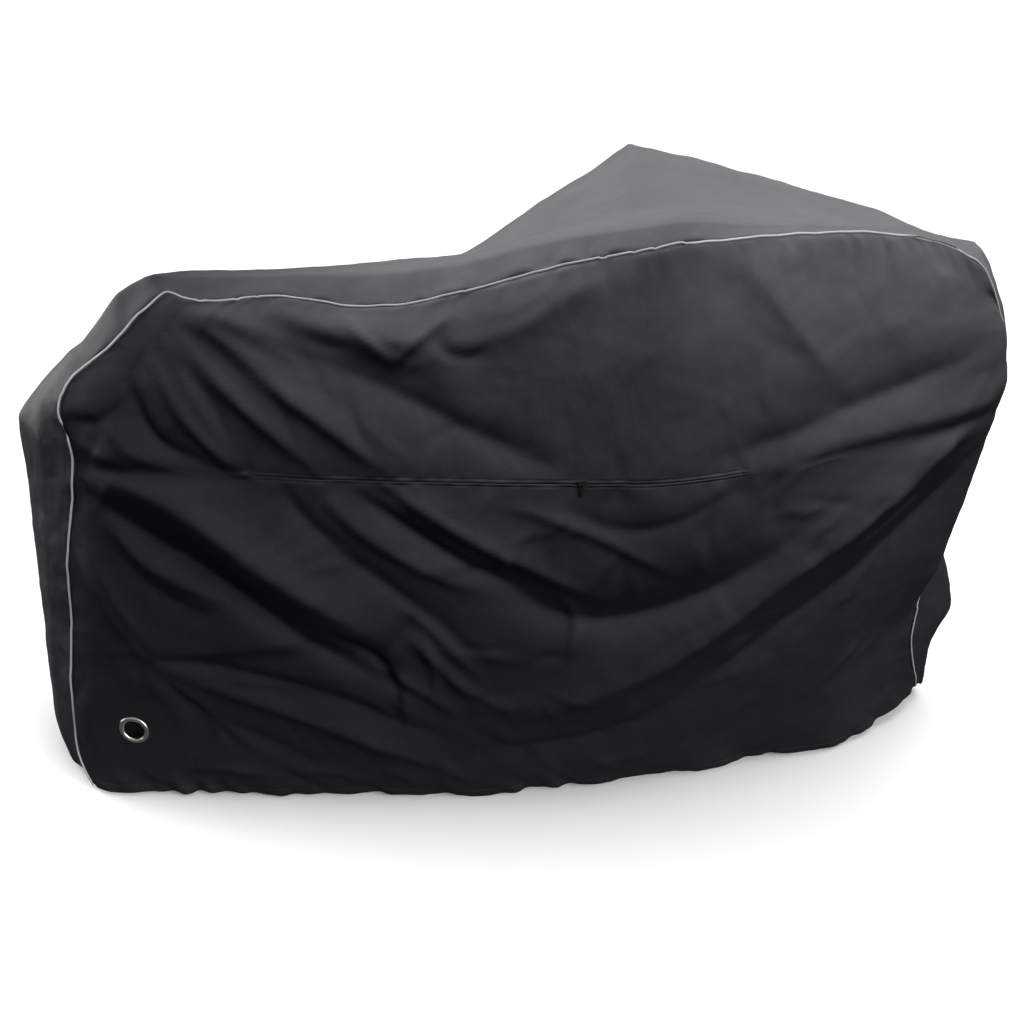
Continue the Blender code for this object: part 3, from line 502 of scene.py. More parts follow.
# The soft lights as name, direction toward them, width in degrees and strength, the softbox as size, place
# and power, and the sky's colours by height, from below the horizon upward
LIGHTS = (("front", (0.90, -1.00, 0.55), 40, 3.0), ("overhead", (0.15, 0.05, 1.00), 60, 1.1),
          ("back", (-1.00, 0.60, 0.25), 50, 6.5))
SOFTBOX = (2.0, (0.95, 0.20, 2.60), 46)
SKY = ((-0.030, (0.08, 0.08, 0.085, 1)), (-0.020, (0.50, 0.50, 0.51, 1)), (0.50, (0.24, 0.24, 0.25, 1)))

CAMERA_PLACE = (-0.19, -2.16, 1.52)
CAMERA_PITCH = 25.8
CAMERA_YAW = 5.1
CAMERA_LENS = 43.95
CAMERA_SENSOR = 36
CAMERA_REACH = 1000
FLOOR_SIZE = 400
FLOOR_CELLS = 8


class CoverSettings(bpy.types.PropertyGroup):
    """The sizes and colours of the cover that a user may change."""

    cloth_thickness: bpy.props.FloatProperty(
        name="Cloth thickness", description="Thickness of the coated cloth", default=0.0012, unit="LENGTH")
    piping_radius: bpy.props.FloatProperty(
        name="Piping radius", description="Radius of the cord in the seams", default=0.0018, unit="LENGTH")
    cloth_colour: bpy.props.FloatVectorProperty(
        name="Cloth colour", description="Colour of the coated cloth", size=4, subtype="COLOR",
        default=(0.0056, 0.0066, 0.0080, 1))
    # Painted light, not dust: the colour the cloth takes where it faces up and is lit from above
    painted_light_colour: bpy.props.FloatVectorProperty(
        name="Dust colour", description="Colour of the cloth where it faces up and dust settles", size=4,
        subtype="COLOR", default=(0.090, 0.091, 0.093, 1))
    piping_colour: bpy.props.FloatVectorProperty(
        name="Piping colour", description="Colour of the cord in the seams", size=4, subtype="COLOR",
        default=(0.30, 0.31, 0.32, 1))
    thread_colour: bpy.props.FloatVectorProperty(
        name="Thread colour", description="Colour of the stitches", size=4, subtype="COLOR",
        default=(0.013, 0.014, 0.016, 1))
    eyelet_colour: bpy.props.FloatVectorProperty(
        name="Eyelet colour", description="Colour of the metal of the lock eyelet", size=4, subtype="COLOR",
        default=(0.74, 0.72, 0.67, 1))


def settings():
    """The cover's settings in the present scene."""
    return bpy.context.scene.cover_settings


def eased(share):
    """A share from 0 to 1 that starts and ends gently."""
    return share * share * (3 - 2 * share)


def unit(vectors):
    """The vectors at length 1."""
    return vectors / np.maximum(np.linalg.norm(vectors, axis=-1, keepdims=True), SHORTEST_VECTOR)


def spline(points, where):
    """The smooth curve through points, at where = 0 for the first point, 1 for the second and so on."""
    points = np.asarray(points, float)
    where = np.clip(np.asarray(where, float), 0, len(points) - 1)
    span = np.minimum(where.astype(int), len(points) - 2)
    along = (where - span)[..., None]
    chord = np.maximum(np.linalg.norm(np.diff(points, axis=0), axis=1), SHORTEST_CHORD)[:, None]
    slope = np.diff(points, axis=0) / chord
    before, after = np.concatenate((slope[:1], slope)), np.concatenate((slope, slope[-1:]))
    near, far = np.concatenate((chord[:1], chord)), np.concatenate((chord, chord[-1:]))
    tangent = (before * far + after * near) / (near + far)
    rise = eased(along)
    leave = along * (1 - along) ** 2 * chord[span]
    arrive = along ** 2 * (along - 1) * chord[span]
    return ((1 - rise) * points[span] + rise * points[span + 1]
            + leave * tangent[span] + arrive * tangent[span + 1])


@cache
def random_lattice(seed):
    """A square of random numbers between -1 and 1."""
    return np.random.default_rng(seed).uniform(-1, 1, (LATTICE, LATTICE))


def noise(x, y, seed):
    """Smooth random numbers between -1 and 1, which change over a distance of about 1."""
    x, y = np.broadcast_arrays(x, y)
    left, low = np.floor(x).astype(int), np.floor(y).astype(int)
    u, v = eased(x - left), eased(y - low)
    values = random_lattice(seed)

    def along_row(row):
        row = row % LATTICE
        return values[row, left % LATTICE] * (1 - u) + values[row, (left + 1) % LATTICE] * u

    return along_row(low) * (1 - v) + along_row(low + 1) * v


def uneven(u, v, bands, seed):
    """Unevenness of cloth over two coordinates in metres, as a sum of bands of height and length."""
    return sum(height * noise(u / length, v / length, seed + order)
               for order, (height, length) in enumerate(bands))


def hump(distance, shape):
    """A rounded ridge or groove, given by its height, its distance and its half width."""
    height, middle, width = shape
    return height * np.exp(-((distance - middle) / width) ** 2)


def ridge(seam, crown):
    """A point between a seam and the crown at an end of the strip, rounded out."""
    seam, crown = np.array(seam), np.array(crown)
    across = unit(crown - seam)
    outward = np.array((np.sign(crown[0]), 0, 0))
    return (seam + crown) / 2 + END_ROUNDING * unit(outward - across * np.dot(outward, across))


@cache
def guide_line(name):
    """One named point of each section, where a ridge that is not given is worked out."""
    line = []
    for section in SECTIONS:
        point = getattr(section, name)
        if point is None:
            point = ridge(getattr(section, name.replace("ridge", "seam")), section.crown)
        line.append(point)
    return np.array(line)


def straight(points, where):
    """The bent line through points, at where = 0 for the first point, 1 for the second and so on."""
    points = np.asarray(points, float)
    return np.stack([np.interp(where, np.arange(len(points)), points[:, axis]) for axis in range(3)], axis=-1)


def guide(name, where):
    """The line through one named point of all sections, at the given section numbers."""
    return spline(guide_line(name), where)


def taut_guide(name, where):
    """A guide of the strip, which is stretched straighter between sections except along its seams."""
    tautness = 0 if name in (NEAR.seam, FAR.seam) else TAUT_ALONG
    return guide(name, where) * (1 - tautness) + straight(guide_line(name), where) * tautness


def seam_places(name, axis, values, first, last):
    """The section numbers, between two sections, at which a seam has the given coordinates."""
    places = np.linspace(first, last, LOOKUP_STEPS)
    coordinates = guide(name, places)[:, axis]
    order = np.argsort(coordinates)
    return np.interp(values, coordinates[order], places[order])


def seam_run(name, where):
    """How far along a seam the given section numbers are, in metres from the hem at the back."""
    places = np.linspace(0, LAST_SECTION, RUN_STEPS)
    steps = np.linalg.norm(np.diff(guide(name, places), axis=0), axis=1)
    return np.interp(where, places, np.concatenate(((0,), np.cumsum(steps))))


def seam_wobble(name, where):
    """How a sewn seam strays from its even line, at the given section numbers."""
    run = seam_run(name, where)
    return sum(height * np.stack([noise(run / length, axis + 0.5, seed) for axis in range(3)], axis=-1)
               for height, length, seed in WOBBLES)


def hem_points(side, across):
    """The points of a side panel's hem, where across runs from 0 at the back to 1 at the front."""
    places = np.linspace(0, len(side.hem) - 1, LOOKUP_STEPS)
    line = spline(side.hem, places)
    share = (line[:, 0] - line[0, 0]) / (line[-1, 0] - line[0, 0])
    return spline(side.hem, np.interp(across, share, places))


def zip_height(across):
    """The height of the zip's line at places across a panel."""
    return ZIP_BACK_LEVEL + ZIP_RISE * across


def zip_rows(across, levels, low, high, half):
    """Heights for levels 0 to 1 from a hem to the zip, 1 to 2 over its slit, and 2 to 3 up to a seam."""
    middle = zip_height(across)
    knots = np.stack((low, middle - half, middle + half, high))
    span = np.minimum(levels.astype(int), 2)
    along = (levels - span)[:, None]
    return knots[span] * (1 - along) + knots[span + 1] * along


def plain_rows(across, levels, low, high, half):
    """Heights for levels 0 to 1 from a hem to a seam."""
    return low + (high - low) * levels[:, None] + 0 * across


def panel_base(side, across, levels, rows, half=0.0):
    """A side panel without folds, as rows of points, and the section numbers of its three seams."""
    low = hem_points(side, across)
    back_x, front_x = guide(side.seam, np.array((BACK_CORNER, FRONT_CORNER)))[:, 0]
    top = seam_places(side.seam, 0, back_x + across * (front_x - back_x), BACK_CORNER, FRONT_CORNER)
    high = guide(side.seam, top)
    z = rows(across, levels, low[:, 2], high[:, 2], half)
    share = ((z - low[:, 2]) / (high[:, 2] - low[:, 2]))[..., None]
    points = low * (1 - share) + high * share
    back = seam_places(side.seam, 2, z[:, 0], 0, BACK_CORNER)
    front = seam_places(side.seam, 2, z[:, -1], FRONT_CORNER, LAST_SECTION)
    back_pull = (guide(side.seam, back) - points[:, 0])[:, None]
    front_pull = (guide(side.seam, front) - points[:, -1])[:, None]
    s = across[None, :, None]
    points = points + back_pull * (1 - s) ** np.array(BACK_PULL) + front_pull * s ** np.array(FRONT_PULL)
    swell = (4 * share * (1 - share)) ** SWELL_UPWARD * (1 - abs(2 * s - 1) ** SWELL_ACROSS)
    corner = across ** SHOULDER_POWER
    corner = 4 * corner * (1 - corner) * np.interp(z, SHOULDER_HEIGHTS, (0, 1, 1, 0))
    points[..., 1] += side.outward * side.bulge * swell[..., 0]
    points[..., 0] += side.shoulder * corner
    return points, back, top, front


def surface_normals(points, outward):
    """Unit normals of a side panel's rows of points that face outward."""
    normals = unit(np.cross(np.gradient(points, axis=1), np.gradient(points, axis=0)))
    return normals * np.sign((normals[..., 1] * outward).mean())


def strip_normals(points):
    """Unit normals of the strip's rows of points that face outward."""
    return unit(np.cross(np.gradient(points, axis=0), np.gradient(points, axis=1)))


def bent_line(start, middle, end):
    """The points of a line that bends from its start toward its middle and on to its end."""
    t = np.linspace(0, 1, FOLD_STEPS + 1)[:, None]
    start, middle, end = (np.array(p) for p in (start, middle, end))
    return start * (1 - t) ** 2 + 2 * middle * t * (1 - t) + end * t ** 2


def fold_height(fold, x, z):
    """How far a fold lifts the cloth at each place."""
    line = bent_line(fold.start, fold.middle, fold.end)
    steps = np.diff(line, axis=0)
    nearby = np.hypot(x - line[:, 0].mean(), z - line[:, 1].mean()) < (
        np.hypot(*np.ptp(line, axis=0)) + FOLD_SPAN * max(fold.above, fold.below))
    lift = np.zeros_like(x)
    dx, dz = x[nearby][:, None] - line[:-1, 0], z[nearby][:, None] - line[:-1, 1]
    along = np.clip((dx * steps[:, 0] + dz * steps[:, 1]) / (steps ** 2).sum(axis=1), 0, 1)
    offset_x, offset_z = dx - along * steps[:, 0], dz - along * steps[:, 1]
    nearest = np.argmin(offset_x ** 2 + offset_z ** 2, axis=-1)
    pick = np.arange(len(nearest))
    offset_x, offset_z = offset_x[pick, nearest], offset_z[pick, nearest]
    place = (along[pick, nearest] + nearest) / len(steps)
    turn = np.sign(steps[nearest, 0] * offset_z - steps[nearest, 1] * offset_x)
    above = turn * np.sign(fold.end[0] - fold.start[0]) > 0
    upper = fold.above * (FOLD_STEEPNESS if fold.height < 0 else FOLD_SLACK)
    lower = fold.below * (FOLD_STEEPNESS if fold.height > 0 else FOLD_SLACK)
    reach = np.where(above, upper, lower)
    height = FOLD_GAIN * fold.height * np.sin(np.pi * np.clip(place, *FOLD_ENDS)) ** FOLD_FADE
    rounding = FOLD_CREST * reach
    distance = np.sqrt(offset_x ** 2 + offset_z ** 2 + rounding ** 2) - rounding
    lift[nearby] = height * np.exp(-FOLD_FALL * (distance / reach) ** FOLD_POWER)
    return lift


def small_folds(seed):
    """Short random creases all over a side panel, which run out from the places that hold it."""
    random = np.random.default_rng(seed)
    made = []
    for _ in range(SMALL_FOLDS):
        middle = random.uniform(*SMALL_FOLD_AREA)
        held = min(HELD_PLACES, key=lambda place: np.hypot(*(middle - place)))
        run = middle - held
        angle = math.atan2(run[1], run[0]) + random.normal(0, SMALL_FOLD_SPREAD)
        half = random.uniform(*SMALL_FOLD_HALF) * np.array((math.cos(angle), math.sin(angle)))
        bend = middle + random.uniform(-SMALL_FOLD_BEND, SMALL_FOLD_BEND) * np.array((-half[1], half[0]))
        reach = random.uniform(*SMALL_FOLD_REACH)
        height = random.choice((-1, 1)) * random.uniform(*SMALL_FOLD_HEIGHT) * reach
        if np.all(middle > SMOOTH_BEYOND):
            height *= SMOOTH_SHARE
        made.append(Fold(tuple(middle - half), tuple(bend), tuple(middle + half), height, reach, reach))
    return tuple(made)


def crease_height(crease, points, places):
    """How far a crease lifts the strip at each of its points, where places are its section numbers."""
    line = bent_line(crease.start, crease.middle, crease.end)
    shares = np.linspace(0, 1, points.shape[1])
    row = np.interp(line[:, 0], places, np.arange(len(places))).round().astype(int)
    column = (line[:, 1] * (len(shares) - 1)).round().astype(int)
    path = points[row, column]
    path = spline(path, np.linspace(0, len(path) - 1, CREASE_STEPS * len(path)))
    fade = np.sin(np.pi * np.linspace(*FOLD_ENDS, len(path))) ** FOLD_FADE
    distance = np.linalg.norm(points[:, :, None] - path, axis=-1)
    nearest = distance.argmin(axis=-1)
    distance = np.take_along_axis(distance, nearest[..., None], -1)[..., 0]
    return crease.height * fade[nearest] * np.exp(-FOLD_FALL * (distance / crease.reach) ** FOLD_POWER)


def running(points, axis):
    """How far each point lies along its row or column, in metres."""
    steps = np.linalg.norm(np.diff(points, axis=axis), axis=-1)
    start = np.zeros_like(np.take(steps, (0,), axis=axis))
    return np.concatenate((start, np.cumsum(steps, axis=axis)), axis=axis)


def puckers(run, distance, heights, seed):
    """Small waves that run out from a seam into the cloth."""
    waves = sum(share * noise(run / length, distance / PUCKER_WIDTH + PUCKER_ROW, seed + order)
                for order, (share, length) in enumerate(PUCKER_LENGTHS))
    rising = 1 - np.exp(-(distance / PUCKER_START) ** 2)
    return heights * waves * rising * np.exp(-distance / PUCKER_REACH)


def along_seam(name, kind, places):
    """What a seam's table of a kind gives at section numbers."""
    return np.interp(places, *zip(*getattr(SEAM_TABLES[name], kind)))


def seam_moves(points, name, back, top, front):
    """How the strayed seams carry a side panel's points along."""
    up, across = running(points, 0), running(points, 1)
    near_top, near_back, near_front = (
        np.exp(-(distance / WOBBLE_REACH) ** 2)[..., None]
        for distance in (up[-1:] - up, across, across[:, -1:] - across))
    top_move = seam_wobble(name, top)[None]
    back_move = seam_wobble(name, back)[:, None]
    front_move = seam_wobble(name, front)[:, None]
    return (near_top * top_move + near_back * back_move + near_front * front_move
            - near_top * near_back * top_move[:, :1] - near_top * near_front * top_move[:, -1:])


def seam_lift(points, name, back, top, front):
    """The dip and the puckers of a side panel beside its seams."""
    up, across = running(points, 0), running(points, 1)
    lift = np.zeros(points.shape[:2])
    distances = (up[-1:] - up, across, across[:, -1:] - across)
    for distance, places, seed in zip(distances, (top[None], back[:, None], front[:, None]), SEAM_SEEDS):
        lift += puckers(seam_run(name, places), distance, along_seam(name, "puckers", places), seed)
        covered = PANEL_COVERING * along_seam(name, "covering", places)
        lift += covered * np.exp(-(distance / SEAM_DIP_REACH) ** 2)
    nearest = np.minimum.reduce(distances)
    return lift - SEAM_DIP * np.exp(-(nearest / SEAM_DIP_REACH) ** 2)


def zip_lift(x, z, across):
    """The rolled lips beside the zip's slit and the stitched grooves beside them."""
    ends = np.clip((x - ZIP_START) / ZIP_END_REACH + 0.5, 0, 1)
    ends = ends * np.clip((ZIP_END - x) / ZIP_END_REACH + 0.5, 0, 1)
    distance = abs(z - zip_height(across))
    return ends * (hump(distance, LIP) + hump(distance, ZIP_GROOVE))


def hem_lift(up, along, seed):
    """The gathers of an elastic hem, its stitched groove and its edge turned in."""
    lift = 0
    for order, (height, length, reach) in enumerate(GATHERS):
        waves = height * noise(along / length, up / (GATHER_STRETCH * length), seed + order)
        lift = lift + waves * np.exp(-(up / reach) ** 2)
    lift = lift + hump(up, HEM_GROOVE)
    return lift - HEM_TURN_DEPTH * np.clip(1 - up / HEM_TURN, 0, 1) ** 2


def hem_ripple(up, along, seed):
    """How far the edge of an elastic hem is drawn up."""
    drawn = 0.5 + 0.5 * noise(along / HEM_RIPPLE[1], 0.5, seed)
    return HEM_RIPPLE[0] * drawn * np.exp(-(up / HEM_RIPPLE[2]) ** 2)


def flattened(points):
    """The near panel's points with the cloth under the eyelet made flat, and that place and its normal."""
    distance = np.hypot(points[..., 0] - EYELET_X, points[..., 2] - EYELET_Z)
    nearby = distance < EYELET_FLAT
    centre = points[nearby].mean(axis=0)
    normal = np.linalg.svd(points[nearby] - centre, full_matrices=False)[2][2]
    normal = normal * np.sign(normal[1] * NEAR.outward)
    height = (points - centre) @ normal
    share = np.clip((EYELET_BLEND - distance) / (EYELET_BLEND - EYELET_FLAT), 0, 1)
    points = points - (height * share * share * (3 - 2 * share))[..., None] * normal
    place = centre + np.array((EYELET_X - centre[0], 0, EYELET_Z - centre[2]))
    return points, place - normal * np.dot(place - centre, normal), normal


def moved_in(points, edges):
    """A panel's points with the named edges moved in along the cloth, out of the middle of the piping."""
    moved = points.copy()
    for edge, inner in edges:
        moved[edge] += unit(points[inner] - points[edge]) * SEAM_INSET
    return moved


Cloth = namedtuple("Cloth", "points normals back top front")


def panel(side, across, levels, rows, half):
    """A side panel of fine cloth with all its folds."""
    seed = side.seed
    points, back, top, front = panel_base(side, across, levels, rows, half)
    normals = surface_normals(points, side.outward)
    x, z = points[..., 0], points[..., 2]
    up, along = running(points, 0), running(points, 1)
    bent_x = x + MEANDER * noise(x / MEANDER_LENGTH, z / MEANDER_LENGTH, seed)
    bent_z = z + MEANDER * noise(x / MEANDER_LENGTH, z / MEANDER_LENGTH, seed + 1)
    lift = sum(fold_height(fold, bent_x, bent_z) for fold in side.folds + small_folds(seed + SMALL_FOLD_SEED))
    lift = lift + uneven(x, z, PANEL_UNEVENNESS, seed + UNEVEN_SEED)
    ends = np.minimum(along, along[:, -1:] - along)
    lift *= (1 - np.exp(-(ends / SIDE_FADE) ** 2)) * (1 - np.exp(-((up[-1:] - up) / TOP_FADE) ** 2))
    if side is NEAR:
        over = z - zip_height(across)
        lift *= 1 - ZIP_HOLD * np.exp(-(over / ZIP_HOLD_REACH) ** 2)
        lift += zip_lift(x, z, across)
        lift += puckers(x - ZIP_SLANT * over, abs(over), np.interp(x, *zip(*ZIP_PUCKERS)), ZIP_SEED)
    lift += seam_lift(points, side.seam, back, top, front) + hem_lift(up, along, seed + HEM_SEED)
    points = points + normals * lift[..., None] + seam_moves(points, side.seam, back, top, front)
    points[..., 2] += hem_ripple(up, along, seed + RIPPLE_SEED)
    return points, back, top, front


def near_across():
    """Places across the near panel, 0 to 1, that put a column at each end of the zip."""
    even = np.linspace(0, 1, ZIP_STEPS)
    x = panel_base(NEAR, even, np.array((1.0,)), zip_rows)[0][0, :, 0]
    start, end = np.interp((ZIP_START, ZIP_END), x, even)
    edge = np.array(SEAM_STEPS) / PANEL_LENGTH
    before, along, after = NEAR_COLUMNS
    return np.concatenate((edge,
                           np.linspace(edge[-1], start, before + 1)[1:],
                           np.linspace(start, end, along + 1)[1:],
                           np.linspace(end, 1 - edge[-1], after + 1)[1:],
                           1 - edge[-2::-1]))


def near_levels():
    """Levels of the near panel's rows, and the number of the last row below the zip's slit."""
    hem = np.array(HEM_STEPS) / LOW_HEIGHT
    below = 1 - np.array(SLIT_STEPS[::-1]) / LOW_HEIGHT
    above = 2 + np.array(SLIT_STEPS) / HIGH_HEIGHT
    seam = 3 - np.array(SEAM_STEPS[::-1]) / HIGH_HEIGHT
    low = np.linspace(hem[-1], below[0], LOW_ROWS + 1)[1:-1]
    high = np.linspace(above[-1], seam[0], HIGH_ROWS + 1)[1:-1]
    return np.concatenate((hem, low, below, above, high, seam)), len(hem) + len(low) + len(below) - 1


def between_seams(width, columns):
    """Places across a cloth, 0 at one seam to 1 at the other, which lie closer together beside the seams."""
    edge = np.array(SEAM_STEPS) / width
    return np.concatenate((edge, np.linspace(edge[-1], 1 - edge[-1], columns + 1)[1:-1], 1 - edge[::-1]))


def finished(side, points, back, top, front):
    """A side panel whose points are final but for the edges in its seams."""
    points = moved_in(points, PANEL_EDGES)
    return Cloth(points, surface_normals(points, side.outward), back, top, front)


@cache
def near_cloth():
    """The near panel, and the place and normal of the lock eyelet on it."""
    across, (levels, slit_row) = near_across(), near_levels()
    x = panel_base(NEAR, across, levels, zip_rows, SLIT)[0][slit_row, :, 0]
    half = SLIT + SLIDER_SPREAD * np.exp(-((x - SLIDER_X) / SLIDER_REACH) ** 2)
    points, back, top, front = panel(NEAR, across, levels, zip_rows, half)
    points, place, normal = flattened(points)
    return finished(NEAR, points, back, top, front), place, normal


@cache
def far_cloth():
    """The far panel."""
    hem = np.array(HEM_STEPS) / (LOW_HEIGHT + HIGH_HEIGHT)
    seam = 1 - np.array(SEAM_STEPS[::-1]) / (LOW_HEIGHT + HIGH_HEIGHT)
    levels = np.concatenate((hem, np.linspace(hem[-1], seam[0], FAR_ROWS + 1)[1:-1], seam))
    across = between_seams(PANEL_LENGTH, FAR_COLUMNS)
    return finished(FAR, *panel(FAR, across, levels, plain_rows, 0.0))


def seam_line(back, top, front):
    """The section numbers along a whole seam, from the hem at the back to the hem at the front."""
    return np.concatenate((back, top[1:-1], front[::-1]))


def resampled(values, count):
    """Values at another number of even steps."""
    return np.interp(np.linspace(0, len(values) - 1, count), np.arange(len(values)), values)


Strip = namedtuple("Strip", "points normals near_places far_places")


@cache
def strip_cloth():
    """The centre strip, as rows of points from the near seam over the crown to the far seam."""
    near, far = near_cloth()[0], far_cloth()
    near_places = seam_line(near.back, near.top, near.front)
    far_places = seam_line(*(resampled(getattr(far, part), len(getattr(near, part)))
                             for part in ("back", "top", "front")))
    columns = []
    last = len(GUIDES) - 1
    for share in between_seams(STRIP_WIDTH, STRIP_COLUMNS):
        places = near_places * (1 - share) + far_places * share
        guides = np.stack([taut_guide(name, places) for name in GUIDES])
        at = share * last
        smooth = np.stack([spline(guides[:, row], at) for row in range(len(places))])
        first = min(int(at), last - 1)
        flat = guides[first] * (first + 1 - at) + guides[first + 1] * (at - first)
        columns.append(smooth * (1 - TAUT_ACROSS) + flat * TAUT_ACROSS)
    points = np.stack(columns, axis=1)
    normals = strip_normals(points)
    from_near = running(points, 1)
    from_far = from_near[:, -1:] - from_near
    along = seam_run(NEAR.seam, near_places)[:, None]
    lift = uneven(along, from_near, STRIP_UNEVENNESS, STRIP_SEED)
    lift = lift + sum(crease_height(crease, points, near_places) for crease in STRIP_CREASES)
    lift *= 1 - np.exp(-(np.minimum(from_near, from_far) / SIDE_FADE) ** 2)
    moves = 0
    sides = ((NEAR.seam, near_places, from_near), (FAR.seam, far_places, from_far))
    for (name, places, distance), seed in zip(sides, STRIP_SEAM_SEEDS):
        heights, covered = (along_seam(name, kind, places)[:, None] for kind in ("puckers", "covering"))
        lift += puckers(seam_run(name, places)[:, None], distance, heights, seed)
        lift += (STRIP_COVERING * covered - SEAM_DIP) * np.exp(-(distance / SEAM_DIP_REACH) ** 2)
        near_seam = np.exp(-(distance / WOBBLE_REACH) ** 2)[..., None]
        moves = moves + seam_wobble(name, places)[:, None] * near_seam
    down = running(points, 0)
    ends = (down, down[-1:] - down)
    lift += sum(hem_lift(end, from_near, seed) for end, seed in zip(ends, STRIP_HEM_SEEDS))
    points = points + normals * lift[..., None] + moves
    points[..., 2] += sum(hem_ripple(end, from_near, seed) for end, seed in zip(ends, STRIP_RIPPLE_SEEDS))
    lap = COVERING_LAP * along_seam(NEAR.seam, "covering", near_places)[:, None]
    lap = unit(points[:, 0] - points[:, LAP_FROM]) * lap
    points = moved_in(points, STRIP_EDGES)
    points[:, :LAP_COLUMNS] += lap[:, None]
    return Strip(points, strip_normals(points), near_places, far_places)


def cloth_mesh(points, inside_out=False, slit=None, hole=None):
    """A sheet of cloth over rows of points, with the slit's cells and the hole left out where given."""
    rows, columns = points.shape[:2]
    u, v = running(points, 1), running(points, 0)
    shape = bmesh.new()
    bmesh.ops.create_grid(shape, x_segments=columns - 1, y_segments=rows - 1, size=0.5)
    cells = {face: face.calc_center_median() for face in shape.faces} if slit else {}
    layer = shape.loops.layers.uv.new("cloth")
    shape.verts.index_update()
    corners = {}
    for vert in shape.verts:
        row, column = round((vert.co.y + 0.5) * (rows - 1)), round((vert.co.x + 0.5) * (columns - 1))
        corners[vert.index] = (u[row, column], v[row, column])
        vert.co = points[row, column]
    for face in shape.faces:
        face.smooth = True
        for loop in face.loops:
            loop[layer].uv = corners[loop.vert.index]
    if slit:
        row, first, last = slit
        gone = [face for face, middle in cells.items()
                if int((middle.y + 0.5) * (rows - 1)) == row
                and first <= int((middle.x + 0.5) * (columns - 1)) < last]
        bmesh.ops.delete(shape, geom=gone, context="FACES")
    if hole:
        cut_hole(shape, *hole)
    if inside_out:
        bmesh.ops.reverse_faces(shape, faces=shape.faces)
    return to_mesh(shape)


def cut_hole(shape, place, normal):
    """Take the cloth out of the eyelet and draw its edge to a circle."""
    place, normal = Vector(place), Vector(normal)

    def off_centre(point):
        step = point - place
        return step - normal * step.dot(normal)

    gone = [face for face in shape.faces
            if (face.calc_center_median() - place).length < 2 * EYELET_HOLE
            and off_centre(face.calc_center_median()).length < EYELET_HOLE]
    bmesh.ops.delete(shape, geom=gone, context="FACES")
    for vert in shape.verts:
        step = off_centre(vert.co)
        if vert.is_boundary and (vert.co - place).length < 2 * EYELET_HOLE:
            vert.co += step.normalized() * (EYELET_HOLE - step.length)


def to_mesh(shape):
    """The finished mesh of a bmesh."""
    mesh = bpy.data.meshes.new("mesh")
    shape.to_mesh(mesh)
    shape.free()
    return mesh


def add_object(name, data):
    """A new object in the scene."""
    made = bpy.data.objects.new(name, data)
    bpy.context.scene.collection.objects.link(made)
    return made


def add_piece(name, mesh, finish, slot, *nodes):
    """Show a mesh as a piece that rides on the cover and stands for solids."""
    piece = add_object(name, mesh)
    mesh.name = name
    mesh.materials.clear()
    mesh.materials.append(finish)
    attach(piece, "root")
    if nodes:
        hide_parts(*nodes)
    return piece


def add_thickness(piece, thickness):
    """Give a sheet its thickness, half to each side."""
    solidify = piece.modifiers.new("thickness", "SOLIDIFY")
    solidify.thickness = thickness
    solidify.offset = 0


def add_cloth(mesh, node):
    """Show a mesh as the coated cloth that stands for a node."""
    piece = add_piece(node + "_cloth", mesh, coated_cloth(), "cloth", node)
    add_thickness(piece, settings().cloth_thickness)
    return piece


def new_material(name):
    """A new material, its node tree and its shader."""
    made = bpy.data.materials.new(name)
    made.use_nodes = True
    return made, made.node_tree, made.node_tree.nodes["Principled BSDF"]


def object_space(tree):
    """Coordinates in metres, fixed to the cover."""
    return tree.nodes.new("ShaderNodeTexCoord").outputs["Object"]


def grain(tree, where, scale, detail=3.0):
    """Fine random variation between 0 and 1."""
    node = tree.nodes.new("ShaderNodeTexNoise")
    node.inputs["Scale"].default_value = scale
    node.inputs["Detail"].default_value = detail
    tree.links.new(where, node.inputs["Vector"])
    return node.outputs["Fac"]


def threads(tree, where, direction, pitch):
    """Parallel bands, a pitch apart, as in a weave or a cord."""
    node = tree.nodes.new("ShaderNodeTexWave")
    node.bands_direction = direction
    node.inputs["Scale"].default_value = math.tau / 20 / pitch
    tree.links.new(where, node.inputs["Vector"])
    return node.outputs["Fac"]


def ranged(tree, value, first, last, low, high):
    """A value brought from the range first to last to the range low to high."""
    node = tree.nodes.new("ShaderNodeMapRange")
    for name, number in zip(("From Min", "From Max", "To Min", "To Max"), (first, last, low, high)):
        node.inputs[name].default_value = number
    tree.links.new(value, node.inputs["Value"])
    return node.outputs["Result"]


def spread(tree, value, low, high):
    """Fine variation brought to a range."""
    return ranged(tree, value, 0.25, 0.75, low, high)


def shaded(tree, value, colour, low, high):
    """A colour made darker and brighter by a value between 0 and 1."""
    node = tree.nodes.new("ShaderNodeMix")
    node.data_type = "RGBA"
    node.inputs["A"].default_value = (*(channel * low for channel in colour[:3]), 1)
    node.inputs["B"].default_value = (*(channel * high for channel in colour[:3]), 1)
    tree.links.new(value, node.inputs["Factor"])
    return node.outputs["Result"]


def bumped(tree, height, distance, under=None):
    """A bump from a height between 0 and 1, over another bump if one is given."""
    node = tree.nodes.new("ShaderNodeBump")
    node.inputs["Distance"].default_value = distance
    tree.links.new(height, node.inputs["Height"])
    if under:
        tree.links.new(under, node.inputs["Normal"])
    return node.outputs["Normal"]


def combined(tree, operation, first, second):
    """Two values added or multiplied."""
    node = tree.nodes.new("ShaderNodeMath")
    node.operation = operation
    tree.links.new(first, node.inputs[0])
    tree.links.new(second, node.inputs[1])
    return node.outputs["Value"]


def height_of(tree, vector):
    """The Z of a vector."""
    node = tree.nodes.new("ShaderNodeSeparateXYZ")
    tree.links.new(vector, node.inputs["Vector"])
    return node.outputs["Z"]


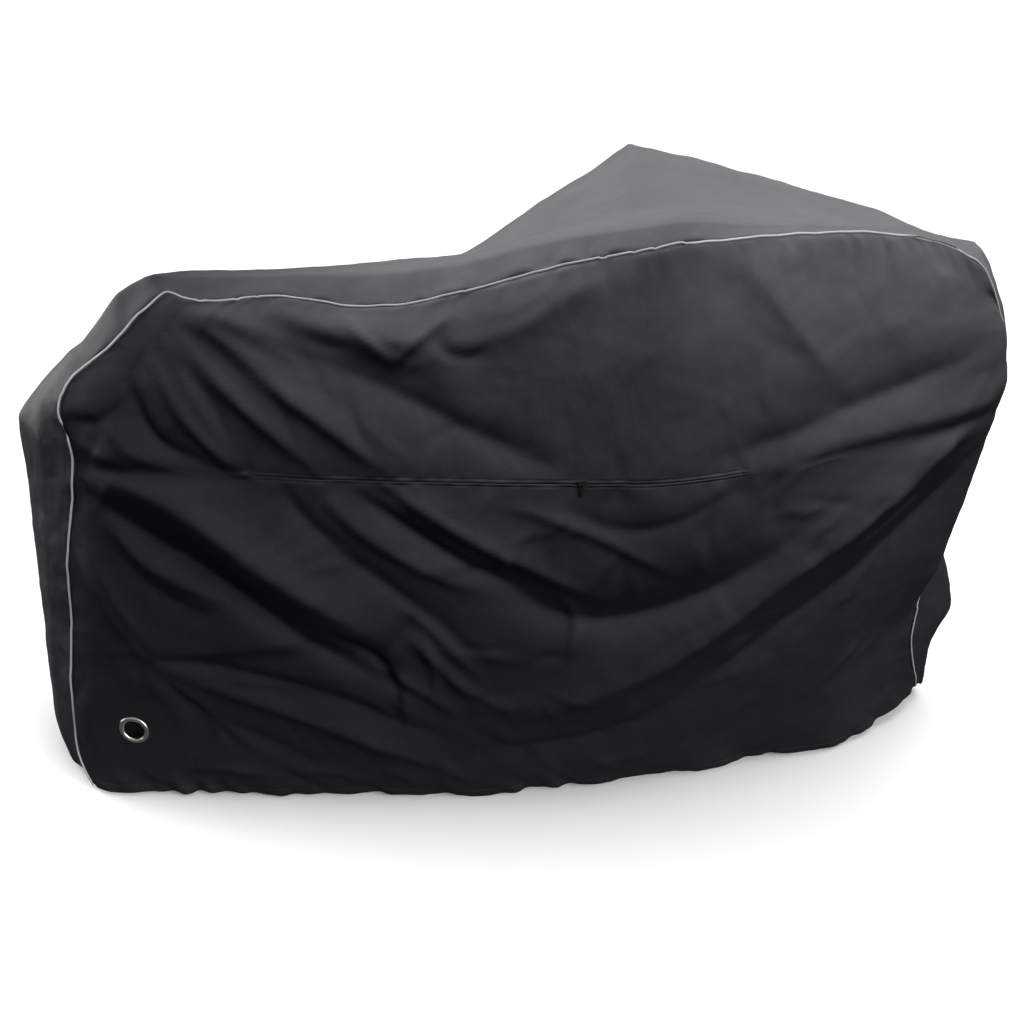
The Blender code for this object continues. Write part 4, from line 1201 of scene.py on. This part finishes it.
def painted_light_share(tree, where):
    """How much painted light the cloth gets, from 0 to 1: painted light on faces that turn up, higher up and
    round a bright place, and painted bounce light near the floor.
    """
    height = height_of(tree, where)
    facing = height_of(tree, tree.nodes.new("ShaderNodeNewGeometry").outputs["Normal"])
    high_up = ranged(tree, height, *PAINTED_LIGHT_HEIGHT)
    away = tree.nodes.new("ShaderNodeVectorMath")
    away.operation = "DISTANCE"
    away.inputs[1].default_value = PAINTED_LIGHT_PLACE
    tree.links.new(where, away.inputs[0])
    near_light_pool = ranged(tree, away.outputs["Value"], *PAINTED_LIGHT_DISTANCE)
    # Painted light from above: lighter on upward faces, higher up and round a bright place
    lit_from_above = combined(tree, "MULTIPLY", ranged(tree, facing, *PAINTED_LIGHT_FACING), near_light_pool)
    lit_from_above = combined(tree, "MULTIPLY", lit_from_above, combined(tree, "MULTIPLY", high_up, high_up))
    # Painted bounce light from the floor, lighter toward the hem
    return combined(tree, "ADD", lit_from_above, ranged(tree, height, *PAINTED_BOUNCE_HEIGHT))


@cache
def coated_cloth():
    """Black woven cloth with a thin coat: a fine weave, small creases, an uneven dull shine, and painted
    light and painted floor bounce mixed into its colour.
    """
    made, tree, shader = new_material("coated_cloth")
    where = object_space(tree)
    flat = tree.nodes.new("ShaderNodeTexCoord").outputs["UV"]
    patches = grain(tree, where, CLOTH_GRAIN)
    # The base colour mixes the cloth's colour with painted light: lighter on upward faces, higher up and near
    # a bright place, and painted floor bounce near the hem
    painted_light_mix = tree.nodes.new("ShaderNodeMix")
    painted_light_mix.data_type = "RGBA"
    tree.links.new(painted_light_share(tree, where), painted_light_mix.inputs["Factor"])
    tree.links.new(shaded(tree, patches, settings().cloth_colour, *CLOTH_TONE), painted_light_mix.inputs["A"])
    tree.links.new(shaded(tree, patches, settings().painted_light_colour, *PAINTED_LIGHT_TONE), painted_light_mix.inputs["B"])
    tree.links.new(painted_light_mix.outputs["Result"], shader.inputs["Base Color"])
    fineness, *roughness = CLOTH_ROUGHNESS
    tree.links.new(spread(tree, grain(tree, where, fineness), *roughness), shader.inputs["Roughness"])
    shader.inputs["IOR"].default_value = CLOTH_IOR
    crumples = tree.nodes.new("ShaderNodeTexNoise")
    crumples.noise_type = "RIDGED_MULTIFRACTAL"
    crumples.normalize = False
    for name, number in CRUMPLES.items():
        crumples.inputs[name].default_value = number
    tree.links.new(where, crumples.inputs["Vector"])
    crumpled = bumped(tree, crumples.outputs["Fac"], CRUMPLE_DEPTH)
    creased = bumped(tree, grain(tree, where, *FINE_CREASES), FINE_CREASE_DEPTH, crumpled)
    pitch, depth = WEAVE
    weave = combined(tree, "MULTIPLY", threads(tree, flat, "X", pitch), threads(tree, flat, "Y", pitch))
    tree.links.new(bumped(tree, weave, depth, creased), shader.inputs["Normal"])
    return made


@cache
def zip_tape_cloth():
    """Black ribbed tape of the zip."""
    made, tree, shader = new_material("zip_tape_cloth")
    flat = tree.nodes.new("ShaderNodeTexCoord").outputs["UV"]
    pitch, depth = TAPE_RIBS
    ribs = threads(tree, flat, "Y", pitch)
    tree.links.new(shaded(tree, ribs, settings().thread_colour, *TAPE_TONE), shader.inputs["Base Color"])
    tree.links.new(bumped(tree, ribs, depth), shader.inputs["Normal"])
    shader.inputs["Roughness"].default_value = TAPE_ROUGHNESS
    return made


@cache
def plain_finish(name):
    """One of the materials whose colour, roughness and bump follow a fine grain."""
    finish = FINISHES[name]
    made, tree, shader = new_material(name)
    where = object_space(tree)
    colour = finish.colour
    if isinstance(colour, str):
        colour = getattr(settings(), colour)
    fineness, *tone = finish.tone
    tree.links.new(shaded(tree, grain(tree, where, fineness), colour, *tone), shader.inputs["Base Color"])
    if isinstance(finish.rough, tuple):
        fineness, *roughness = finish.rough
        tree.links.new(spread(tree, grain(tree, where, fineness), *roughness), shader.inputs["Roughness"])
    else:
        shader.inputs["Roughness"].default_value = finish.rough
    if finish.bump:
        fineness, depth = finish.bump
        tree.links.new(bumped(tree, grain(tree, where, fineness), depth), shader.inputs["Normal"])
    shader.inputs["Metallic"].default_value = finish.metallic
    shader.inputs["Specular IOR Level"].default_value = finish.shine
    return made


def beads_mesh(places, size):
    """Small rounded beads, one for each place matrix, all copies of the first."""
    shape = bmesh.new()
    bmesh.ops.create_uvsphere(shape, radius=0.5, matrix=Matrix.Diagonal((*size, 1)), **BEAD_SEGMENTS)
    for face in shape.faces:
        face.smooth = True
    bead = to_mesh(shape)
    row = bmesh.new()
    for place in places:
        copy = bead.copy()
        copy.transform(place)
        row.from_mesh(copy)
        bpy.data.meshes.remove(copy)
    bpy.data.meshes.remove(bead)
    return to_mesh(row)


def turned_to(place, along, normal):
    """The matrix that puts a shape at a place, its X along a line and its Z facing out."""
    along, normal = Vector(along).normalized(), Vector(normal).normalized()
    up = normal.cross(along).normalized()
    along = up.cross(normal)
    return Matrix.Translation(Vector(place)) @ Matrix((along, up, normal)).transposed().to_4x4()


def bead_places(line, normals, pitch, out):
    """Matrices a pitch apart along a line on the cloth."""
    run = running(line, 0)
    stops = np.arange(pitch, run[-1] - pitch, pitch)
    at = [np.interp(stops, run, line[:, axis]) for axis in range(3)]
    ahead = [np.interp(stops + pitch / 2, run, line[:, axis]) for axis in range(3)]
    facing = [np.interp(stops, run, normals[:, axis]) for axis in range(3)]
    place, along, normal = np.stack(at, axis=1), np.stack(ahead, axis=1), unit(np.stack(facing, axis=1))
    place = place + normal * out
    return [turned_to(*row) for row in zip(place, along + normal * out - place, normal)]


def line_beside(points, normals, distance):
    """The line on the cloth at a distance from the first point of each row, and its normals."""
    run = running(points, 1)
    line, facing = [], []
    for row in range(len(points)):
        line.append([np.interp(distance, run[row], points[row, :, axis]) for axis in range(3)])
        facing.append([np.interp(distance, run[row], normals[row, :, axis]) for axis in range(3)])
    return np.array(line), np.array(facing)


def in_columns(cloth, rows=EVERY, span=EVERY):
    """The points and normals of part of a cloth, with its rows and columns swapped."""
    return [part[rows, span].transpose(1, 0, 2) for part in (cloth.points, cloth.normals)]


def stitches_beside(points, normals, distance):
    """Stitch places at a distance from the first point of each row."""
    line, facing = line_beside(points, normals, distance)
    return bead_places(line, facing, STITCH_PITCH, settings().cloth_thickness / 2)


def zip_span():
    """The near panel's last row below the slit, and its first and last column along the zip."""
    before, along, _ = NEAR_COLUMNS
    first = len(SEAM_STEPS) - 1 + before
    return near_levels()[1], first, first + along


class COVER_OT_near_panel(bpy.types.Operator):
    """Make the near side panel, with the zip's slit and the eyelet's hole."""

    bl_idname = "cover.near_panel"
    bl_label = "Near panel"

    def execute(self, context):
        cloth, place, normal = near_cloth()
        mesh = cloth_mesh(cloth.points, slit=zip_span(), hole=(place, normal))
        piece = add_cloth(mesh, "near_panel")
        return {"FINISHED"}


class COVER_OT_far_panel(bpy.types.Operator):
    """Make the far side panel."""

    bl_idname = "cover.far_panel"
    bl_label = "Far panel"

    def execute(self, context):
        piece = add_cloth(cloth_mesh(far_cloth().points, inside_out=True), "far_panel")
        return {"FINISHED"}


class COVER_OT_centre_strip(bpy.types.Operator):
    """Make the strip that runs over the top and down both ends."""

    bl_idname = "cover.centre_strip"
    bl_label = "Centre strip"

    def execute(self, context):
        piece = add_cloth(cloth_mesh(strip_cloth().points, inside_out=True), "centre_strip")
        return {"FINISHED"}


def tube_mesh(line, radius):
    """The mesh of a round cord along a line."""
    curve = bpy.data.curves.new("tube", "CURVE")
    curve.dimensions = "3D"
    curve.bevel_depth = radius
    curve.bevel_resolution = PIPING_SEGMENTS // 4 - 1
    curve.use_fill_caps = True
    path = curve.splines.new("POLY")
    path.points.add(len(line) - 1)
    for corner, point in zip(path.points, line):
        corner.co = (*point, 1)
    holder = add_object("tube", curve)
    mesh = bpy.data.meshes.new_from_object(holder.evaluated_get(bpy.context.evaluated_depsgraph_get()))
    bpy.data.objects.remove(holder)
    bpy.data.curves.remove(curve)
    mesh.shade_smooth()
    return mesh


def edge_normals(cloth, strip_edge):
    """The normals along a whole seam, between those of a side panel and of the strip."""
    n = cloth.normals
    edge = np.concatenate((n[:, 0], n[-1, 1:-1], n[::-1, -1]))
    if len(edge) != len(strip_edge):
        edge = np.stack([resampled(edge[:, axis], len(strip_edge)) for axis in range(3)], axis=1)
    return unit(edge + strip_edge)


class COVER_OT_piping(bpy.types.Operator):
    """Make the light piping in both long seams."""

    bl_idname = "cover.piping"
    bl_label = "Piping"

    def execute(self, context):
        strip = strip_cloth()
        seams = (("near_piping", NEAR.seam, strip.near_places, near_cloth()[0], strip.normals[:, 0]),
                 ("far_piping", FAR.seam, strip.far_places, far_cloth(), strip.normals[:, -1]))
        height, length = PIPING_RIPPLE
        for node, name, places, cloth, strip_edge in seams:
            rise = along_seam(name, "piping", places) + height * noise(
                seam_run(name, places) / length, 0.5, PIPING_SEED)
            line = guide(name, places) + seam_wobble(name, places)
            line = line + edge_normals(cloth, strip_edge) * rise[:, None]
            mesh = tube_mesh(line[PIPING_TRIM], settings().piping_radius)
            add_piece(node + "_cord", mesh, plain_finish("piping_cloth"), "piping", node)
        return {"FINISHED"}


class COVER_OT_stitching(bpy.types.Operator):
    """Make the stitches beside the piping and along the hems."""

    bl_idname = "cover.stitching"
    bl_label = "Stitching"

    def execute(self, context):
        strip = strip_cloth()
        points, normals = strip.points, strip.normals
        rows = {"near_seam_stitches": stitches_beside(points, normals, TOPSTITCH),
                "far_seam_stitches": stitches_beside(points[:, ::-1], normals[:, ::-1], TOPSTITCH),
                "hem_stitches": []}
        hems = ((near_cloth()[0], EVERY), (far_cloth(), EVERY), (strip, EVERY), (strip, BACKWARD))
        for cloth, order in hems:
            rows["hem_stitches"] += stitches_beside(*in_columns(cloth, order), HEM_GROOVE[1])
        for name, places in rows.items():
            add_piece(name, beads_mesh(places, STITCH), plain_finish("thread"), "cloth")
        return {"FINISHED"}


class COVER_OT_zip(bpy.types.Operator):
    """Make the zip: its tape, teeth, slider, pull and stitches."""

    bl_idname = "cover.zip"
    bl_label = "Zip"

    def execute(self, context):
        cloth = near_cloth()[0]
        row, first, last = zip_span()
        span = slice(first, last + 1)
        normals = unit(cloth.normals[row, span] + cloth.normals[row + 1, span])
        middle = (cloth.points[row, span] + cloth.points[row + 1, span]) / 2 - normals * TAPE_DEPTH
        halves = []
        for rows in (slice(row, None, -1), slice(row + 1, None)):
            beside = [line_beside(*in_columns(cloth, rows, span), distance)
                      for distance in np.linspace(*TAPE_SPAN, TAPE_LINES)]
            halves.append([line - facing * TAPE_DEPTH for line, facing in beside])
        band = np.array(halves[0] + [middle] + halves[1][::-1])
        tape = add_piece("zip_tape_band", cloth_mesh(band), zip_tape_cloth(), "tape", "zip_tape")
        add_thickness(tape, settings().cloth_thickness / 2)
        teeth = [place @ Matrix.Rotation(TOOTH_TURN * (-1) ** order, 4, "Z")
                 for order, place in enumerate(bead_places(middle, normals, TOOTH_PITCH, TOOTH_RISE))]
        add_piece("zip_teeth", beads_mesh(teeth, TOOTH), plain_finish("coil_plastic"), "coil", "zip_coil")
        at = int(np.argmin(abs(middle[:, 0] - SLIDER_X)))
        seat = turned_to(middle[at], middle[at + 1] - middle[at - 1], normals[at])
        metal = plain_finish("slider_metal")
        add_piece("zip_slider_body", blocks_mesh(SLIDER_BLOCKS, seat), metal, "slider", "zip_slider")
        hung = seat @ Matrix.Translation(PULL_PLACE) @ Matrix.Rotation(math.radians(PULL_TURN), 4, "Z")
        add_piece("zip_pull_tab", blocks_mesh(PULL_BLOCKS, hung), metal, "slider", "zip_pull")
        stitches = []
        for rows in (slice(row, row - ZIP_STITCH_ROWS, -1), slice(row + 1, row + 1 + ZIP_STITCH_ROWS)):
            stitches += stitches_beside(*in_columns(cloth, rows, span), ZIP_GROOVE[1] - SLIT)
        add_piece("zip_stitches", beads_mesh(stitches, STITCH), plain_finish("thread"), "cloth")
        return {"FINISHED"}


def blocks_mesh(blocks, place):
    """Rounded blocks at a place, each given by its size, middle and rounding."""
    shape = bmesh.new()
    for size, middle, rounding in blocks:
        stretch = Matrix.Translation(middle) @ Matrix.Diagonal((*size, 1))
        made = bmesh.ops.create_cube(shape, size=1, matrix=stretch)
        edges = list({edge for vert in made["verts"] for edge in vert.link_edges})
        bevelled = bmesh.ops.bevel(shape, geom=edges, offset=rounding, offset_type="OFFSET", affect="EDGES",
                                   segments=BLOCK_SEGMENTS, profile=0.5, material=-1, clamp_overlap=True)
        corners = list({vert for face in bevelled["faces"] for vert in face.verts})
        bmesh.ops.transform(shape, matrix=place, verts=corners)
    return to_mesh(shape)


class COVER_OT_lock_eyelet(bpy.types.Operator):
    """Make the metal ring through which a lock passes."""

    bl_idname = "cover.lock_eyelet"
    bl_label = "Lock eyelet"

    def execute(self, context):
        _, place, normal = near_cloth()
        shape = bmesh.new()
        corners = [shape.verts.new((radius, 0, height)) for radius, height in EYELET_RING]
        edges = [shape.edges.new(pair) for pair in zip(corners, corners[1:] + corners[:1])]
        bmesh.ops.spin(shape, geom=corners + edges, cent=(0, 0, 0), axis=(0, 0, 1), angle=math.tau,
                       steps=EYELET_SEGMENTS, use_merge=True)
        bmesh.ops.remove_doubles(shape, verts=shape.verts, dist=WELD)
        bmesh.ops.recalc_face_normals(shape, faces=shape.faces)
        bmesh.ops.transform(shape, matrix=turned_to(place, (1, 0, 0), normal), verts=shape.verts)
        for face in shape.faces:
            face.smooth = True
        metal = plain_finish("eyelet_metal")
        add_piece("lock_eyelet_ring", to_mesh(shape), metal, "eyelet", "lock_eyelet")
        return {"FINISHED"}


def add_light(name, toward, width, strength):
    """A soft distant light, given by the direction toward it, how wide it is in degrees and its strength."""
    light = bpy.data.lights.new(name, "SUN")
    light.angle = math.radians(width)
    light.energy = strength
    add_object(name, light).rotation_euler = Vector(toward).to_track_quat("Z", "Y").to_euler()


def add_softbox(size, place, power):
    """A square soft light that faces down."""
    light = bpy.data.lights.new("softbox", "AREA")
    light.size = size
    light.energy = power
    add_object("softbox", light).location = place


def add_sky():
    """A pale surround, dark below the horizon and brightest at it."""
    world = bpy.data.worlds.new("studio")
    world.use_nodes = True
    tree = world.node_tree
    ramp = tree.nodes.new("ShaderNodeValToRGB")
    stops = ramp.color_ramp.elements
    lowest, highest = SKY[0][0], SKY[-1][0]
    for number, (height, colour) in enumerate(SKY):
        place = (height - lowest) / (highest - lowest)
        stop = stops[number] if number < len(stops) else stops.new(place)
        stop.position = place
        stop.color = colour
    height = height_of(tree, tree.nodes.new("ShaderNodeTexCoord").outputs["Generated"])
    tree.links.new(ranged(tree, height, lowest, highest, 0, 1), ramp.inputs["Fac"])
    tree.links.new(ramp.outputs["Color"], tree.nodes["Background"].inputs["Color"])
    bpy.context.scene.world = world


class COVER_OT_stage(bpy.types.Operator):
    """Make the pale floor, the soft lights and the camera."""

    bl_idname = "cover.stage"
    bl_label = "Stage"

    def execute(self, context):
        shape = bmesh.new()
        bmesh.ops.create_grid(shape, x_segments=FLOOR_CELLS, y_segments=FLOOR_CELLS, size=FLOOR_SIZE)
        floor = add_object("floor", to_mesh(shape))
        floor.data.materials.append(plain_finish("floor_paint"))
        floor.visible_diffuse = False
        floor.visible_glossy = False
        add_sky()
        for light in LIGHTS:
            add_light(*light)
        add_softbox(*SOFTBOX)
        context.scene.view_settings.view_transform = "Standard"
        camera = bpy.data.cameras.new("camera")
        camera.sensor_width = CAMERA_SENSOR
        camera.lens = CAMERA_LENS
        camera.clip_end = CAMERA_REACH
        holder = add_object("camera", camera)
        holder.location = CAMERA_PLACE
        holder.rotation_euler = (math.radians(90 - CAMERA_PITCH), 0, -math.radians(CAMERA_YAW))
        context.scene.camera = holder
        return {"FINISHED"}


PIECES = (COVER_OT_lock_eyelet, COVER_OT_zip, COVER_OT_stitching, COVER_OT_piping, COVER_OT_near_panel,
          COVER_OT_far_panel, COVER_OT_centre_strip, COVER_OT_stage)


class COVER_PT_sidebar(bpy.types.Panel):
    """The cover's settings and pieces in the sidebar."""

    bl_idname = "COVER_PT_sidebar"
    bl_label = "Bicycle Cover"
    bl_space_type = "VIEW_3D"
    bl_region_type = "UI"
    bl_category = "Cover"

    def draw(self, context):
        for name in CoverSettings.__annotations__:
            self.layout.prop(context.scene.cover_settings, name)
        for piece in PIECES:
            self.layout.operator(piece.bl_idname)


CLASSES = (CoverSettings, *PIECES, COVER_PT_sidebar)


def register():
    """Add the cover's classes and settings."""
    for made in CLASSES:
        bpy.utils.register_class(made)
    bpy.types.Scene.cover_settings = bpy.props.PointerProperty(type=CoverSettings)


def unregister():
    """Take the cover's classes and settings away."""
    del bpy.types.Scene.cover_settings
    for made in reversed(CLASSES):
        bpy.utils.unregister_class(made)


def main():
    """Make every piece and the stage."""
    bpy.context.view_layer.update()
    register()
    for piece in PIECES:
        group, name = piece.bl_idname.split(".")
        getattr(getattr(bpy.ops, group), name)()


if __name__ == "__main__":
    main()
